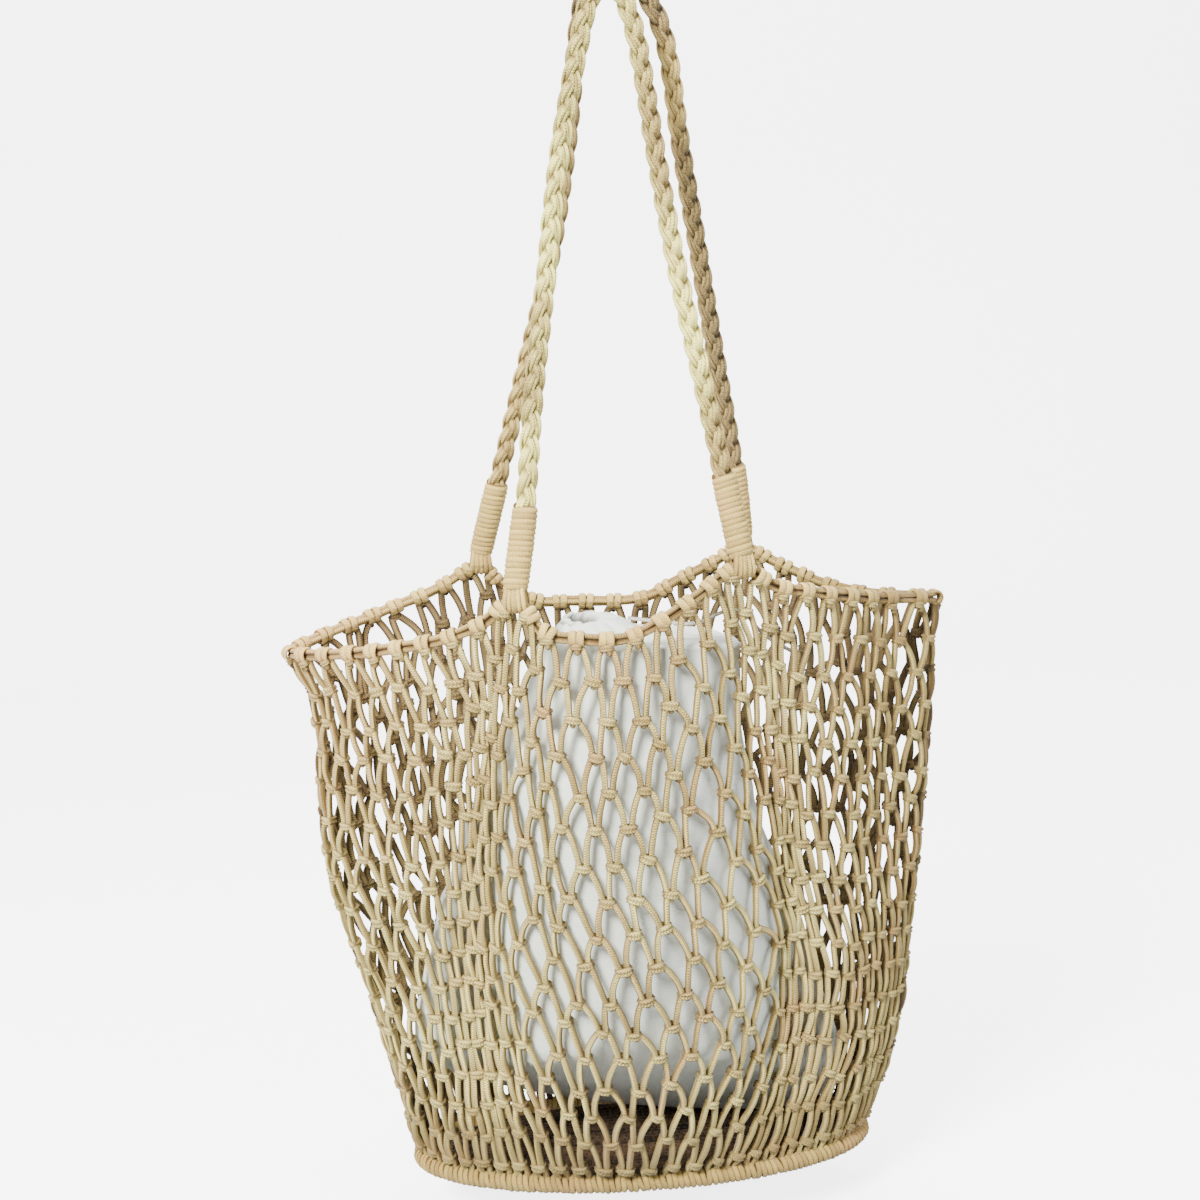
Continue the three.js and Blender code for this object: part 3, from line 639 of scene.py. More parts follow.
# The net's knots and cords
FIRST_ROW = 0.012
LAST_ROW = 1 - 11 / 310
KNOT_SPREAD = (0.0025, 0.0018)  # from a knot's middle to either cord that leaves it, and that reaches it
KNOT_WANDER = {"front": (0.07, 0.0045), "back": (0.2, 0.010)}  # in columns and in shares of the way down
EDGE_ROW_CALM = 0.3  # how much of that the first and the last row do
KNOT_TILT = (-9, 7)  # in degrees, the usual one and how far it strays
FIRST_KNOT_TILT = (0, 3)
KNOT_SIZE = 0.09
KNOT_SIZE_SHARES = (1, 0.3, 0.8)
KNOT_SIZE_LIMITS = (0.8, 1.25)
FREE_CORD = {"front": 0.0036, "back": 0.0044}
FIRST_KNOT_SIZE = (0.8, 0.85, 0.72)
FIRST_KNOT_LIFT = 0.0016
CORD_STEPS = 10
CORD_FLARE = (1.9, 2.4)  # how wide a cord leaves its knot, in the folds and over the belly
CORD_GATHER = (0.5, 0.3)  # and how wide it reaches the next one
CORD_STRAY = 0.06
CORD_BULGE = (0.0012, 0.0008)
CORD_UNEVEN = 0.03
FOOT_STEPS = 6
FOOT_FLARE = 0.4
FOOT_SPREAD = (0.2, 0.03)  # in columns
FOOT_LIFT = 0.3  # above the ring's middle, in thicknesses of the ring
THICKER_FROM = 8  # from this row down cords get thicker, by up to these shares
THICKER = {"front": 0.12, "back": 0.5}
TUCK_DROPS = (0.0010, 0.0024, 0.0036, 0.0044)  # a tuck of cord that shows under each knot, darkened with painted shade
TUCK_THICKNESS = (0.0032, 0.0034, 0.0030, 0.0004)
TUCK_RISE = 0.0010
TUCK_SWAY = (0.0004, 0.0006)
TUCK_SHADE = 0.75
CORE_DEPTH = 0.04


def row_down(row):
    return FIRST_ROW + (LAST_ROW - FIRST_ROW) * row / KNOT_ROWS


def knot_places(random):
    """Column, middle and axes of every knot, by row and place in the row."""
    rows = []
    for row in range(KNOT_ROWS + 1):
        columns = np.arange(COLUMNS) + (row % 2) / 2
        calm = EDGE_ROW_CALM if row in (0, KNOT_ROWS) else 1.0
        wander = np.array([KNOT_WANDER[side_of(column)] for column in columns]).T * calm
        moved = columns + random.normal(0, 1, COLUMNS) * wander[0]
        down = row_down(row) + random.normal(0, 1, COLUMNS) * wander[1]
        across, out, up = net_axes(moved, down)
        middle = net_point(moved, down)
        rows.append({"column": columns, "point": middle, "across": across, "out": out, "up": up})
    return rows


def leaned(axes, angle):
    """Three axes, turned by an angle about the second one."""
    first, second, third = axes
    kept, moved = math.cos(angle), math.sin(angle)
    return first * kept + third * moved, second, third * kept - first * moved


def smooth_run(start, end, leave, arrive, steps):
    """Points of a curve from start to end with given directions and lengths at both ends."""
    return hermite(np.linspace(0, 1, steps)[:, None], start, end, leave, arrive)


def add_knot(knots, places, i, first_row, random):
    """Adds one knot, turned and sized a little differently from the others, and gives its middle."""
    across, out, up = (places[name][i] for name in ("across", "out", "up"))
    tilt = random.normal(*(FIRST_KNOT_TILT if first_row else KNOT_TILT))
    size = 1 + random.normal(0, KNOT_SIZE, 3) * KNOT_SIZE_SHARES
    size = np.clip(size, *KNOT_SIZE_LIMITS) * (FIRST_KNOT_SIZE if first_row else 1)
    middle = places["point"][i] + out * (FIRST_KNOT_LIFT if first_row else 0)
    knots.add(middle, leaned((across, -out, up), math.radians(tilt)), middle - out * CORE_DEPTH, size,
              int(random.integers(len(KNOT_LEANS))), float(random.random()))
    return middle


def tuck_cord(places, i, knot, random):
    """The tuck of cord under a knot, which is darkened with painted shade."""
    out = places["out"][i]
    sway = places["across"][i] * random.normal(*TUCK_SWAY)
    points = knot + sway + out * TUCK_RISE - places["up"][i] * np.array(TUCK_DROPS)[:, None]
    return points, TUCK_THICKNESS, points - out * CORE_DEPTH


def make_net(materials):
    random = np.random.default_rng(7)
    rows = knot_places(random)
    knots = {side: Copies() for side in SIDES}
    cords = {side: Runs() for side in SIDES}
    for row, places in enumerate(rows):
        for i in range(COLUMNS):
            side = side_of(places["column"][i])
            knot = add_knot(knots[side], places, i, row == 0, random)
            cords[side].add(*tuck_cord(places, i, knot, random), deep=TUCK_SHADE)
            for turn in (-1, 1):
                if row < KNOT_ROWS:
                    cord = net_cord(rows, row, i, turn, random)
                else:
                    cord = foot_cord(places, i, turn, random)
                cords[side].add(*cord)
    patterns = knot_patterns()
    made = []
    for side in SIDES:
        material = materials[f"net_{side}"]
        made.append(knots[side].place(f"net_knots_{side}", material, patterns))
        made.append(cords[side].sweep(f"net_cords_{side}", material, sides=7))
    drop_patterns(patterns)
    return made


def net_cord(rows, row, i, turn, random):
    """The cord from a knot down to the next one on its left or right."""
    here, below = rows[row], rows[row + 1]
    if row % 2 == 0:
        j = i if turn > 0 else (i - 1) % COLUMNS
    else:
        j = (i + 1) % COLUMNS if turn > 0 else i
    start = here["point"][i] + here["across"][i] * KNOT_SPREAD[0] * turn
    end = below["point"][j] - below["across"][j] * KNOT_SPREAD[1] * turn
    long = np.linalg.norm(end - start)
    lean = abs((end - start) @ here["across"][i]) / long
    belly = bell(here["column"][i] - BELLY_COLUMN, BELLY_WIDTH)
    flare = lean * np.interp(belly, (0, 1), CORD_FLARE) + random.normal(0, CORD_STRAY)
    gather = lean * np.interp(belly, (0, 1), CORD_GATHER) + random.normal(0, CORD_STRAY)
    leave = (-here["up"][i] + here["across"][i] * flare * turn) * long
    arrive = (-below["up"][j] + below["across"][j] * gather * turn) * long
    points = smooth_run(start, end, leave, arrive, CORD_STEPS)
    bulge = np.sin(np.linspace(0, math.pi, CORD_STEPS))[:, None] * here["out"][i]
    points = points + bulge * random.normal(*CORD_BULGE)
    core = points - here["out"][i] * CORE_DEPTH
    side = side_of(here["column"][i])
    low = max(0, row - THICKER_FROM) / (KNOT_ROWS - THICKER_FROM) * THICKER[side]
    thickness = FREE_CORD[side] * (1 + low + random.normal(0, CORD_UNEVEN))
    return points, thickness, core, float(random.random())


def foot_cord(places, i, turn, random):
    """One of the two short cords from a knot of the last row into the base ring."""
    start = places["point"][i] + places["across"][i] * KNOT_SPREAD[0] * turn
    foot = gathered(places["column"][i:i + 1] % COLUMNS, 1.0)[0]
    end = base_point(foot + turn * random.normal(*FOOT_SPREAD))[0]
    end[2] += BASE_RING * FOOT_LIFT
    long = np.linalg.norm(end - start)
    leave = (-places["up"][i] + places["across"][i] * FOOT_FLARE * turn) * long
    points = smooth_run(start, end, leave, -UP * long, FOOT_STEPS)
    thickness = FREE_CORD["front"] * (1 + THICKER["front"])
    return points, thickness, points - places["out"][i] * CORE_DEPTH, float(random.random())


def drop_patterns(patterns):
    for pattern in list(patterns.objects):
        mesh = pattern.data
        bpy.data.objects.remove(pattern)
        bpy.data.meshes.remove(mesh)
    bpy.data.collections.remove(patterns)


# The rim: holding cords and a lark's head for each column
RIM_STEPS = 8
RIM_BUNDLE = ((0.0, 1.0), (0.0, -1.0), (1.25, 0.0))  # where its cords lie, inward and up, in halves of a cord
RIM_SWAY = 0.12
LARK_SPREAD = {"front": 0.0020, "back": 0.0023}
LARK_RADIUS = 0.0038
LARK_CORD = 0.0045
LARK_FLAT = 0.42
LARK_SWING = 4
LARK_TOE_IN = 3
LARK_WANDER = 0.008
LARK_UNEVEN = (0.03, 0.04)
PEAK_CLEARANCE = 0.72  # in columns, from a strap's middle to the nearest lark's head


def axes_along(tangent):
    """Along a path, then level across it and up, with up kept as near to upright as it goes."""
    side = unit(np.cross(UP, tangent))
    return tangent, side, np.cross(tangent, side)


def axes_at(outline, place, reach=0.1, shares=(1, 1, 1)):
    """The point of an outline at a place, and the axes along it there."""
    ahead = outline(place + reach)[0] - outline(place - reach)[0]
    return outline(place)[0], axes_along(unit(ahead * shares))


def holding_cords(material):
    columns = np.arange(COLUMNS * RIM_STEPS) / RIM_STEPS
    middle = rim_point(columns)
    _, side, up = axes_along(unit(np.roll(middle, -1, axis=0) - np.roll(middle, 1, axis=0)))
    bundle = Runs()
    for number, (inward, above) in enumerate(RIM_BUNDLE):
        sway = RIM_SWAY * np.sin(columns * (1.7 + number) + number)[:, None]
        line = middle + (up * (above + sway) + side * inward) * HOLDING_CORD / 2
        bundle.add(line, HOLDING_CORD, middle, tone=0.3 + 0.2 * number, closed=True)
    return bundle.sweep("rim_holding_cords", material, sides=8)


def lark_place(column):
    """Where on the rim a column's lark's head sits, which is clear of the straps' feet."""
    for peak in PEAKS.values():
        if abs(column - peak) <= 0.5:
            return peak + math.copysign(PEAK_CLEARANCE, column - peak)
    return column


def lark_heads(material):
    random = np.random.default_rng(11)
    loops = Copies()
    for column in range(COLUMNS):
        for turn in (-1, 1):
            at, axes = axes_at(rim_point, lark_place(column) + random.normal(0, LARK_WANDER))
            swing = math.radians(random.normal(0, LARK_SWING) - LARK_TOE_IN * turn)
            point = at + axes[0] * turn * LARK_SPREAD[side_of(column)]
            size = (1, *random.normal(1, LARK_UNEVEN))
            loops.add(point, leaned(axes, swing), point, size, 0, float(random.random()))
    return placed_rings(loops, "rim_lark_heads", material, (LARK_RADIUS, LARK_CORD, LARK_FLAT))


def placed_rings(copies, name, material, sizes):
    """Places copies of one turn of cord, whose sizes are those of its pattern."""
    patterns = ring_pattern(name + " turn", *sizes)
    piece = copies.place(name, material, patterns)
    drop_patterns(patterns)
    return piece


# The base: cord bound round its ring and coiled flat inside it
BINDING_TURNS = 188
BINDING_LEAN = (14, 5)  # in degrees, the usual one and how far it strays
BINDING_UNEVEN = (0.02, 0.03)
BINDING_CORD = RING_WRAP * 1.12  # the turns press into each other
CORE_SHARE = 0.72
COIL_PITCH = 0.0043
COIL_CORD = COIL_PITCH * 1.02
COIL_STEPS = 72
# painted shade over the whole coil
COIL_SHADE = 0.5
COIL_RIPPLE = (0.0002, 40)  # height, and waves in each turn in radians


def base_binding(material):
    random = np.random.default_rng(13)
    turns = Copies()
    for i in range(BINDING_TURNS):
        at, axes = axes_at(base_point, COLUMNS * i / BINDING_TURNS)
        lean = math.radians(random.normal(*BINDING_LEAN))
        size = (1, *random.normal(1, BINDING_UNEVEN))
        turns.add(at, leaned(axes, lean), at, size, 0, float(random.random()))
    radius = BASE_RING / 2 - RING_WRAP / 2
    return placed_rings(turns, "base_binding", material, (radius, BINDING_CORD))


def base_core(material):
    """The round core that shows between the turns bound round it."""
    middle = base_point(np.arange(COLUMNS * 3) / 3)
    core = Runs()
    core.add(middle, BASE_RING * CORE_SHARE, middle, closed=True)
    return core.sweep("base_core", material, sides=8)


def base_coil(material):
    """The floor, one cord laid round and round inwards, each turn in a tone of its own, and all of it
    darkened with painted shade.
    """
    turns = int((BASE_HALF_DEPTH - BASE_RING / 2) / COIL_PITCH)
    share = np.arange(turns * COIL_STEPS) / COIL_STEPS
    inset = BASE_RING / 2 + COIL_PITCH * (0.5 + share)
    points = np.array([base_point(s * COLUMNS, inset=d)[0] for s, d in zip(share, inset)])
    points[:, 2] += COIL_RIPPLE[0] * np.sin(share * COIL_RIPPLE[1])
    tones = np.random.default_rng(17).random(turns + 1)
    tone = np.interp(share, np.arange(turns + 1), tones)
    coil = Runs()
    coil.add(points, COIL_CORD, points - UP * CORE_DEPTH, tone=tone, deep=COIL_SHADE)
    return coil.sweep("base_coil", material, sides=8)


# The straps
CLEARANCE = 0.0003
RIM_CORD = 0.0056
LOOP_WALL = 0.0032
FOOT_RISE = RIM_CORD / 2 + LOOP_WALL + 2 * CLEARANCE
LEG_STEPS = 160
PLAIT_STEP = 0.0016
PLAIT_ROUNDING = 60
PLAIT_START = 0.8  # share of the whipping's length that the plait stays out of
PLAIT_NECK = (0.6, 0.2)  # how narrow the plait starts, and over which share of that length it widens
PLAIT_PHASE = {"front": 0.4, "back": 1.9}
STRAP_SUN = {  # heights and reaches of the palest stretches of each leg
    "front_left": ((-0.125, 0.038), (-0.258, 0.028)),
    "front_right": ((-0.165, 0.042),),
    "back_left": ((-0.235, 0.05),),
    "back_right": ((-0.05, 0.02),),
}
PLAIT_SPREAD = 0.0028
PLAIT_DEPTH = 0.0025
STRAND_CORDS = 3
STRAND_PITCH = 0.0016  # from one cord to the next across a strand
STRAND_CROWN = 0.0009
STRAND_DIVE = 0.3  # share of the plait's spread within which a strand is darkened with painted shade, where it passes under the others
STRAND_SHADE = 0.9
STRAND_TONE_STEP = 0.08
WHIPPING_HALF_WIDTH = 0.0049
WHIPPING_HALF_DEPTH = 0.0039
WHIPPING_THICKNESS = 0.0048  # wider than the step between its turns, which press into each other
WHIPPING_STEPS = 20
WHIPPING_TUCK = 0.12
WHIPPING_UNEVEN = ((0.03, 0.31), (0.02, 0.83))  # shares of its thickness and how often they come


def strap_leg(peak, drops):
    """Points of a strap's middle line from its hanging top (drop 0) to its foot on the rim (drop 1)."""
    back = peak.startswith("back")
    level = STRAP_WIDTH / 2 + (STRAP_STEP if back else 0)
    top = np.array([0, STRAP_SPACING if back else -STRAP_SPACING, level])
    foot = rim_point(PEAKS[peak])[0] + UP * FOOT_RISE
    keys, values = numbers(STRAP_COURSE)
    spread = look_up(keys, values, drops)[:, STRAP_COURSE[0].index(peak) - 1]
    shares = np.stack([spread, drops, drops], axis=-1)
    return top * (1 - shares) + foot * shares


def evenly(points, step):
    """The same line with points at equal steps."""
    lengths = np.concatenate([[0], np.cumsum(np.linalg.norm(np.diff(points, axis=0), axis=1))])
    count = max(2, int(round(lengths[-1] / step)) + 1)
    at = np.linspace(0, lengths[-1], count)
    return np.stack([np.interp(at, lengths, points[:, k]) for k in range(3)], axis=-1), at


def softened(points, times):
    """A line with its sharp bends rounded off."""
    for _ in range(times):
        inner = (points[:-2] + 2 * points[1:-1] + points[2:]) / 4
        points = np.concatenate([points[:1], inner, points[-1:]])
    return points


def line_axes(points):
    """Tangent, flat side and depth direction along a strap, whose flat side faces the front."""
    tangent = unit(np.gradient(points, axis=0))
    side = unit(np.stack([tangent[:, 2], np.zeros(len(points)), -tangent[:, 0]], axis=-1))
    return tangent, side, unit(np.cross(tangent, side))


def sunlit(line, legs):
    """How pale a strap is along its line, which runs up its left leg and down its right one."""
    rising = np.arange(len(line)) < len(line) / 2
    sun = np.zeros(len(line))
    for leg, here in zip(legs, (rising, ~rising)):
        for height, reach in STRAP_SUN[leg]:
            sun += np.where(here, bell(line[:, 2] - height, reach), 0)
    return sun


def make_strap(side_name, material):
    legs = [f"{side_name}_left", f"{side_name}_right"]
    drops = np.linspace(0, 1, LEG_STEPS)
    line = np.concatenate([strap_leg(legs[0], drops)[::-1], strap_leg(legs[1], drops)[1:]])
    line, at = evenly(line, PLAIT_STEP)
    line = softened(line, PLAIT_ROUNDING)
    _, side, depth = line_axes(line)
    inside = WHIPPING_LENGTH * PLAIT_START
    keep = (at > inside) & (at < at[-1] - inside)
    narrowest, widening = PLAIT_NECK
    neck = np.clip(np.minimum(at, at[-1] - at) / WHIPPING_LENGTH - PLAIT_START, 0, widening) / widening
    neck = narrowest + (1 - narrowest) * neck
    sun = sunlit(line, legs)[keep]
    runs = Runs()
    for strand in range(3):
        turn = 2 * math.pi * (at / STRAND_PERIOD + strand / 3) + PLAIT_PHASE[side_name]
        middle = line + side * (np.sin(turn) * PLAIT_SPREAD * neck)[:, None]
        middle = middle + depth * (np.sin(2 * turn) * PLAIT_DEPTH)[:, None]
        flat = unit(np.cross(depth, unit(np.gradient(middle, axis=0))))
        dive = STRAND_SHADE * bell(np.sin(turn), STRAND_DIVE)[keep]
        for cord in range(STRAND_CORDS):
            place = cord - (STRAND_CORDS - 1) / 2
            crown = depth * (-np.sign(np.cos(turn)) * STRAND_CROWN * (1 - place ** 2))[:, None]
            path = softened(middle + flat * place * STRAND_PITCH + crown, 2)[keep]
            runs.add(path, STRAP_CORD, line[keep], tone=sun + STRAND_TONE_STEP * cord, deep=dive)
    return runs.sweep(f"strap_{side_name}_plait", material, sides=7)


def make_whipping(name, peak, material):
    """Close turns of thin cord round the end of a strap."""
    leg, at = evenly(strap_leg(peak, np.linspace(0, 1, LEG_STEPS)), WHIPPING_CORD / WHIPPING_STEPS)
    leg = leg[at >= at[-1] - WHIPPING_LENGTH]
    _, side, depth = line_axes(leg)
    turn = 2 * math.pi * np.arange(len(leg)) / WHIPPING_STEPS
    ends = np.minimum(np.arange(len(leg)), np.arange(len(leg))[::-1]) / WHIPPING_STEPS
    tuck = 1 - WHIPPING_TUCK * np.exp(-ends)
    points = leg + side * (np.cos(turn) * WHIPPING_HALF_WIDTH * tuck)[:, None]
    points = points + depth * (np.sin(turn) * WHIPPING_HALF_DEPTH * tuck)[:, None]
    uneven = 1 + sum(share * np.sin(turn * pace) for share, pace in WHIPPING_UNEVEN)
    runs = Runs()
    runs.add(points, WHIPPING_THICKNESS * uneven, leg, tone=0.5 + 0.4 * np.sin(turn * 0.45))
    return runs.sweep(name, material, sides=7)


LOOP_CORDS = 5
LOOP_CORD = 0.0031
LOOP_PITCH = 0.0026
LOOP_REACH = (0.0050, 0.0052)  # out from the rim's middle and below it
LOOP_RISE = 0.0115
LOOP_FAN = 0.35
LOOP_SHRINK = 0.05
LOOP_PINCH = 0.25
LOOP_STEPS = 20


def make_rim_loops(name, peak, material):
    """The strap's cords, side by side over the rim and back up into the whipping."""
    at, (along, side, _) = axes_at(rim_point, PEAKS[peak], reach=0.3, shares=(1, 1, 0))
    runs = Runs()
    angle = np.linspace(0, 2 * math.pi, LOOP_STEPS, endpoint=False)
    above = np.maximum(np.sin(angle), 0)
    for i in range(LOOP_CORDS):
        place = i - (LOOP_CORDS - 1) / 2
        shrink = 1 - LOOP_SHRINK * place ** 2
        spread = along * (place * LOOP_PITCH * (1 - LOOP_FAN * above))[:, None]
        z = np.sin(angle) * np.where(np.sin(angle) > 0, LOOP_RISE, LOOP_REACH[1] * shrink)
        y = np.cos(angle) * LOOP_REACH[0] * shrink * (1 - LOOP_PINCH * above ** 2)
        core = at + spread + UP * np.maximum(z, 0)[:, None]
        points = at + spread + side * y[:, None] + UP * z[:, None]
        runs.add(points, LOOP_CORD, core, tone=i / LOOP_CORDS, closed=True)
    return runs.sweep(name, material, sides=8)


# The liner
LINER_HALF_LENGTH = 0.118
LINER_HALF_DEPTH = 0.062
LINER_HEIGHT = 0.331
LINER_OFFSET = (-0.004, -0.018)
LINER_WALL = 0.0009
LINER_STANDOFF = NET_CORD / 2 + 0.004
LINER_REST = BASE_Z + PANEL_THICKNESS / 2 + 0.0012
LINER_COLUMNS = 168
LINER_ROWS = 110
CREASE_SHARE = 0.4
PLEATS = 13
PLEAT_DEPTH = 0.0014
LINER_SECTIONS = (
    ("down", "length", "depth", "x", "y"),
    (0.05, 0.06, 0.07, -0.21, -0.36),
    (0.013, 0.08, 0.12, -0.20, -0.37),
    (0.009, 0.11, 0.18, -0.15, -0.35),
    (0.018, 0.16, 0.28, -0.14, -0.33),
    (0.036, 0.23, 0.42, -0.10, -0.32),
    (0.056, 0.46, 0.62, 0.06, -0.25),
    (0.09, 0.49, 0.68, 0.05, -0.21),
    (0.155, 0.52, 0.74, 0.03, -0.18),
    (0.32, 0.67, 0.92, -0.06, -0.12),
    (0.53, 0.86, 0.98, -0.08, -0.1),
    (0.74, 1.03, 0.9, -0.04, 0.06),
    (0.86, 1.06, 0.62, 0.02, 0.42),
    (0.95, 0.95, 0.36, 0.16, 0.74),
    (1.0, 0.66, 0.20, 0.28, 0.90),
)
LINER_HEEL = {"x": 0.085, "span": 0.17, "from": 0.6, "lift": 0.020}  # the bottom's left is drawn up
MOUTH_DIP = 0.0018  # how far the mouth's front lip dips and its back lip rises
MOUTH_RIPPLE = 0.0005
MOUTH_REACH = 0.03
MOUTH_ROWS = 1.3  # rows of the table that lie inside the mouth
CREASES = (
    ("around", "down", "phase", "height"),
    (3.0, 7.0, 0.4, 0.0011),
    (-5.0, 6.0, 1.9, 0.0009),
    (7.0, -4.0, 4.1, 0.0008),
    (2.0, 15.0, 2.7, 0.0006),
    (-11.0, 9.0, 5.3, 0.0005),
    (13.0, 13.0, 0.9, 0.0004),
)
FACE_HALVINGS = 14


def net_face(x, z, rear):
    """How far back the net's front or rear face lies at places across the bag and heights."""
    def placed(columns):
        top = rim_point(columns)[:, 2]
        return net_point(columns, np.clip((top - z) / (top - BASE_Z), 0, 1))
    left = np.full(len(x), COLUMNS - 1e-6 if rear else 0.0)
    right = np.full(len(x), COLUMNS / 2)
    for _ in range(FACE_HALVINGS):
        middle = (left + right) / 2
        outside = placed(middle)[:, 0] < x
        left = np.where(outside, middle, left)
        right = np.where(outside, right, middle)
    return placed(right)[:, 1]


def inside_net(points, margin):
    """Keeps points of the liner between the faces of the net that it presses on."""
    front = net_face(points[:, 0], points[:, 2], False) + margin
    rear = net_face(points[:, 0], points[:, 2], True) - margin
    points[:, 1] = np.clip(points[:, 1], front, np.maximum(front, rear))
    return points


def creases(around, down):
    """Height of fine soft creases over the cloth, at shares of a turn and of the way down."""
    height = np.zeros_like(around)
    for turns, falls, phase, rise in CREASES[1:]:
        bent = 2 * math.pi * (turns * around + falls * down) + phase
        bent = bent + 1.3 * np.sin(2 * math.pi * (2 * around + 1.7 * down) + phase)
        height += rise * (1 - 2 * np.abs(np.sin(bent / 2)) ** 0.8)
    return height


def pleats(angle, down, length):
    """How far the cloth stands out in the gathers that run down from its mouth."""
    jitter = 0.5 * np.sin(3 * angle + 1) + 0.35 * np.sin(5 * angle)
    wave = np.abs(np.sin(PLEATS / 2 * angle + jitter)) ** 0.7 * 2 - 1
    fade = np.exp(-np.abs(down) * 11) * np.minimum(1, length * 4)
    return wave * PLEAT_DEPTH * fade


def liner_points(around):
    """The cloth's points, row by row from inside its mouth, and each row's place in the table of sections."""
    rows = np.array(LINER_SECTIONS[1:], float)
    place = np.linspace(0, len(rows) - 1, LINER_ROWS)
    down, length, depth, x, y = look_up(np.arange(len(rows)), rows, place).T[:, :, None]
    angle = 2 * math.pi * around
    drape = creases(around + 0 * down, down + 0 * around) * CREASE_SHARE * np.minimum(1, length * 2)
    grow = pleats(angle, down, length) + drape
    points = np.zeros((LINER_ROWS, LINER_COLUMNS, 3))
    reach = length * LINER_HALF_LENGTH + grow, depth * LINER_HALF_DEPTH + grow
    points[..., 0] = LINER_OFFSET[0] + x * LINER_HALF_LENGTH + np.cos(angle) * reach[0]
    points[..., 1] = LINER_OFFSET[1] + y * LINER_HALF_DEPTH + np.sin(angle) * reach[1]
    ripple = np.sin(9 * angle + 0.8) + 0.6 * np.sin(14 * angle)
    lips = np.exp(-down / MOUTH_REACH) * (MOUTH_DIP * np.sin(angle) + MOUTH_RIPPLE * ripple)
    heel = np.clip((LINER_HEEL["x"] - points[..., 0]) / LINER_HEEL["span"], 0, 1)
    settled = np.clip((down - LINER_HEEL["from"]) / (1 - LINER_HEEL["from"]), 0, 1)
    points[..., 2] = LINER_REST + (1 - down) * LINER_HEIGHT + drape * 0.4 + lips
    points[..., 2] += heel * settled * LINER_HEEL["lift"]
    points = inside_net(points.reshape(-1, 3), LINER_STANDOFF)
    points[:, 2] = np.maximum(points[:, 2], LINER_REST)
    return points, place


def liner_faces(hub):
    """The cloth's faces between its rows, and a fan round the point in the middle of its bottom."""
    i = np.arange(LINER_COLUMNS)
    j = (i + 1) % LINER_COLUMNS
    faces = []
    for a in range(0, (LINER_ROWS - 1) * LINER_COLUMNS, LINER_COLUMNS):
        b = a + LINER_COLUMNS
        faces += np.stack([a + i, b + i, b + j, a + j], axis=-1).tolist()
    last = (LINER_ROWS - 1) * LINER_COLUMNS
    return faces + np.stack([last + i, np.full_like(i, hub), last + j], axis=-1).tolist()


def make_liner(material):
    around = np.arange(LINER_COLUMNS) / LINER_COLUMNS
    points, place = liner_points(around)
    bottom = points[-LINER_COLUMNS:].mean(axis=0)
    mesh = bpy.data.meshes.new("liner_cloth")
    mesh.from_pydata([*points.tolist(), bottom.tolist()], [], liner_faces(len(points)))
    weave = np.zeros((len(points) + 1, 3))
    weave[:-1, 0] = np.tile(around * 2 * math.pi * LINER_HALF_LENGTH * 0.8, LINER_ROWS)
    weave[:-1, 1] = np.repeat(place / place[-1] * LINER_HEIGHT, LINER_COLUMNS)
    attribute(mesh, "cut", "FLOAT_VECTOR", weave)
    inside = np.clip((MOUTH_ROWS - place) * 1.6, 0, 1)
    attribute(mesh, "deep", "FLOAT", np.append(np.repeat(inside, LINER_COLUMNS), 0))
    face_outward(mesh)
    piece = linked("liner_cloth", mesh)
    piece.data.materials.append(material)
    wall = piece.modifiers.new("wall", "SOLIDIFY")
    wall.thickness = LINER_WALL
    wall.offset = -1
    smooth_faces(piece)
    return piece


def smooth_faces(piece):
    piece.data.polygons.foreach_set("use_smooth", np.ones(len(piece.data.polygons), bool))


DRAWSTRING_STEPS = 70
DRAWSTRING_ROUTE = (
    (-0.001, -0.040, -0.3375),
    (0.007, -0.043, -0.3382),
    (0.015, -0.0455, -0.339),
    (0.023, -0.0475, -0.34),
    (0.030, -0.049, -0.3406),
    (0.038, -0.049, -0.3396),
    (0.046, -0.048, -0.3366),
    (0.054, -0.046, -0.3346),
    (0.061, -0.043, -0.3362),
    (0.066, -0.040, -0.341),
    (0.071, -0.037, -0.3474),
    (0.077, -0.034, -0.3534),
    (0.084, -0.0305, -0.3584),
    (0.091, -0.0265, -0.363),
)


def make_drawstring(material):
    route = np.array(DRAWSTRING_ROUTE)
    line = look_up(np.arange(len(route)), route, np.linspace(0, len(route) - 1, DRAWSTRING_STEPS))
    runs = Runs()
    runs.add(line, DRAWSTRING, line + (0, CORE_DEPTH, 0))
    return runs.sweep("drawstring_cord", material, sides=8), line


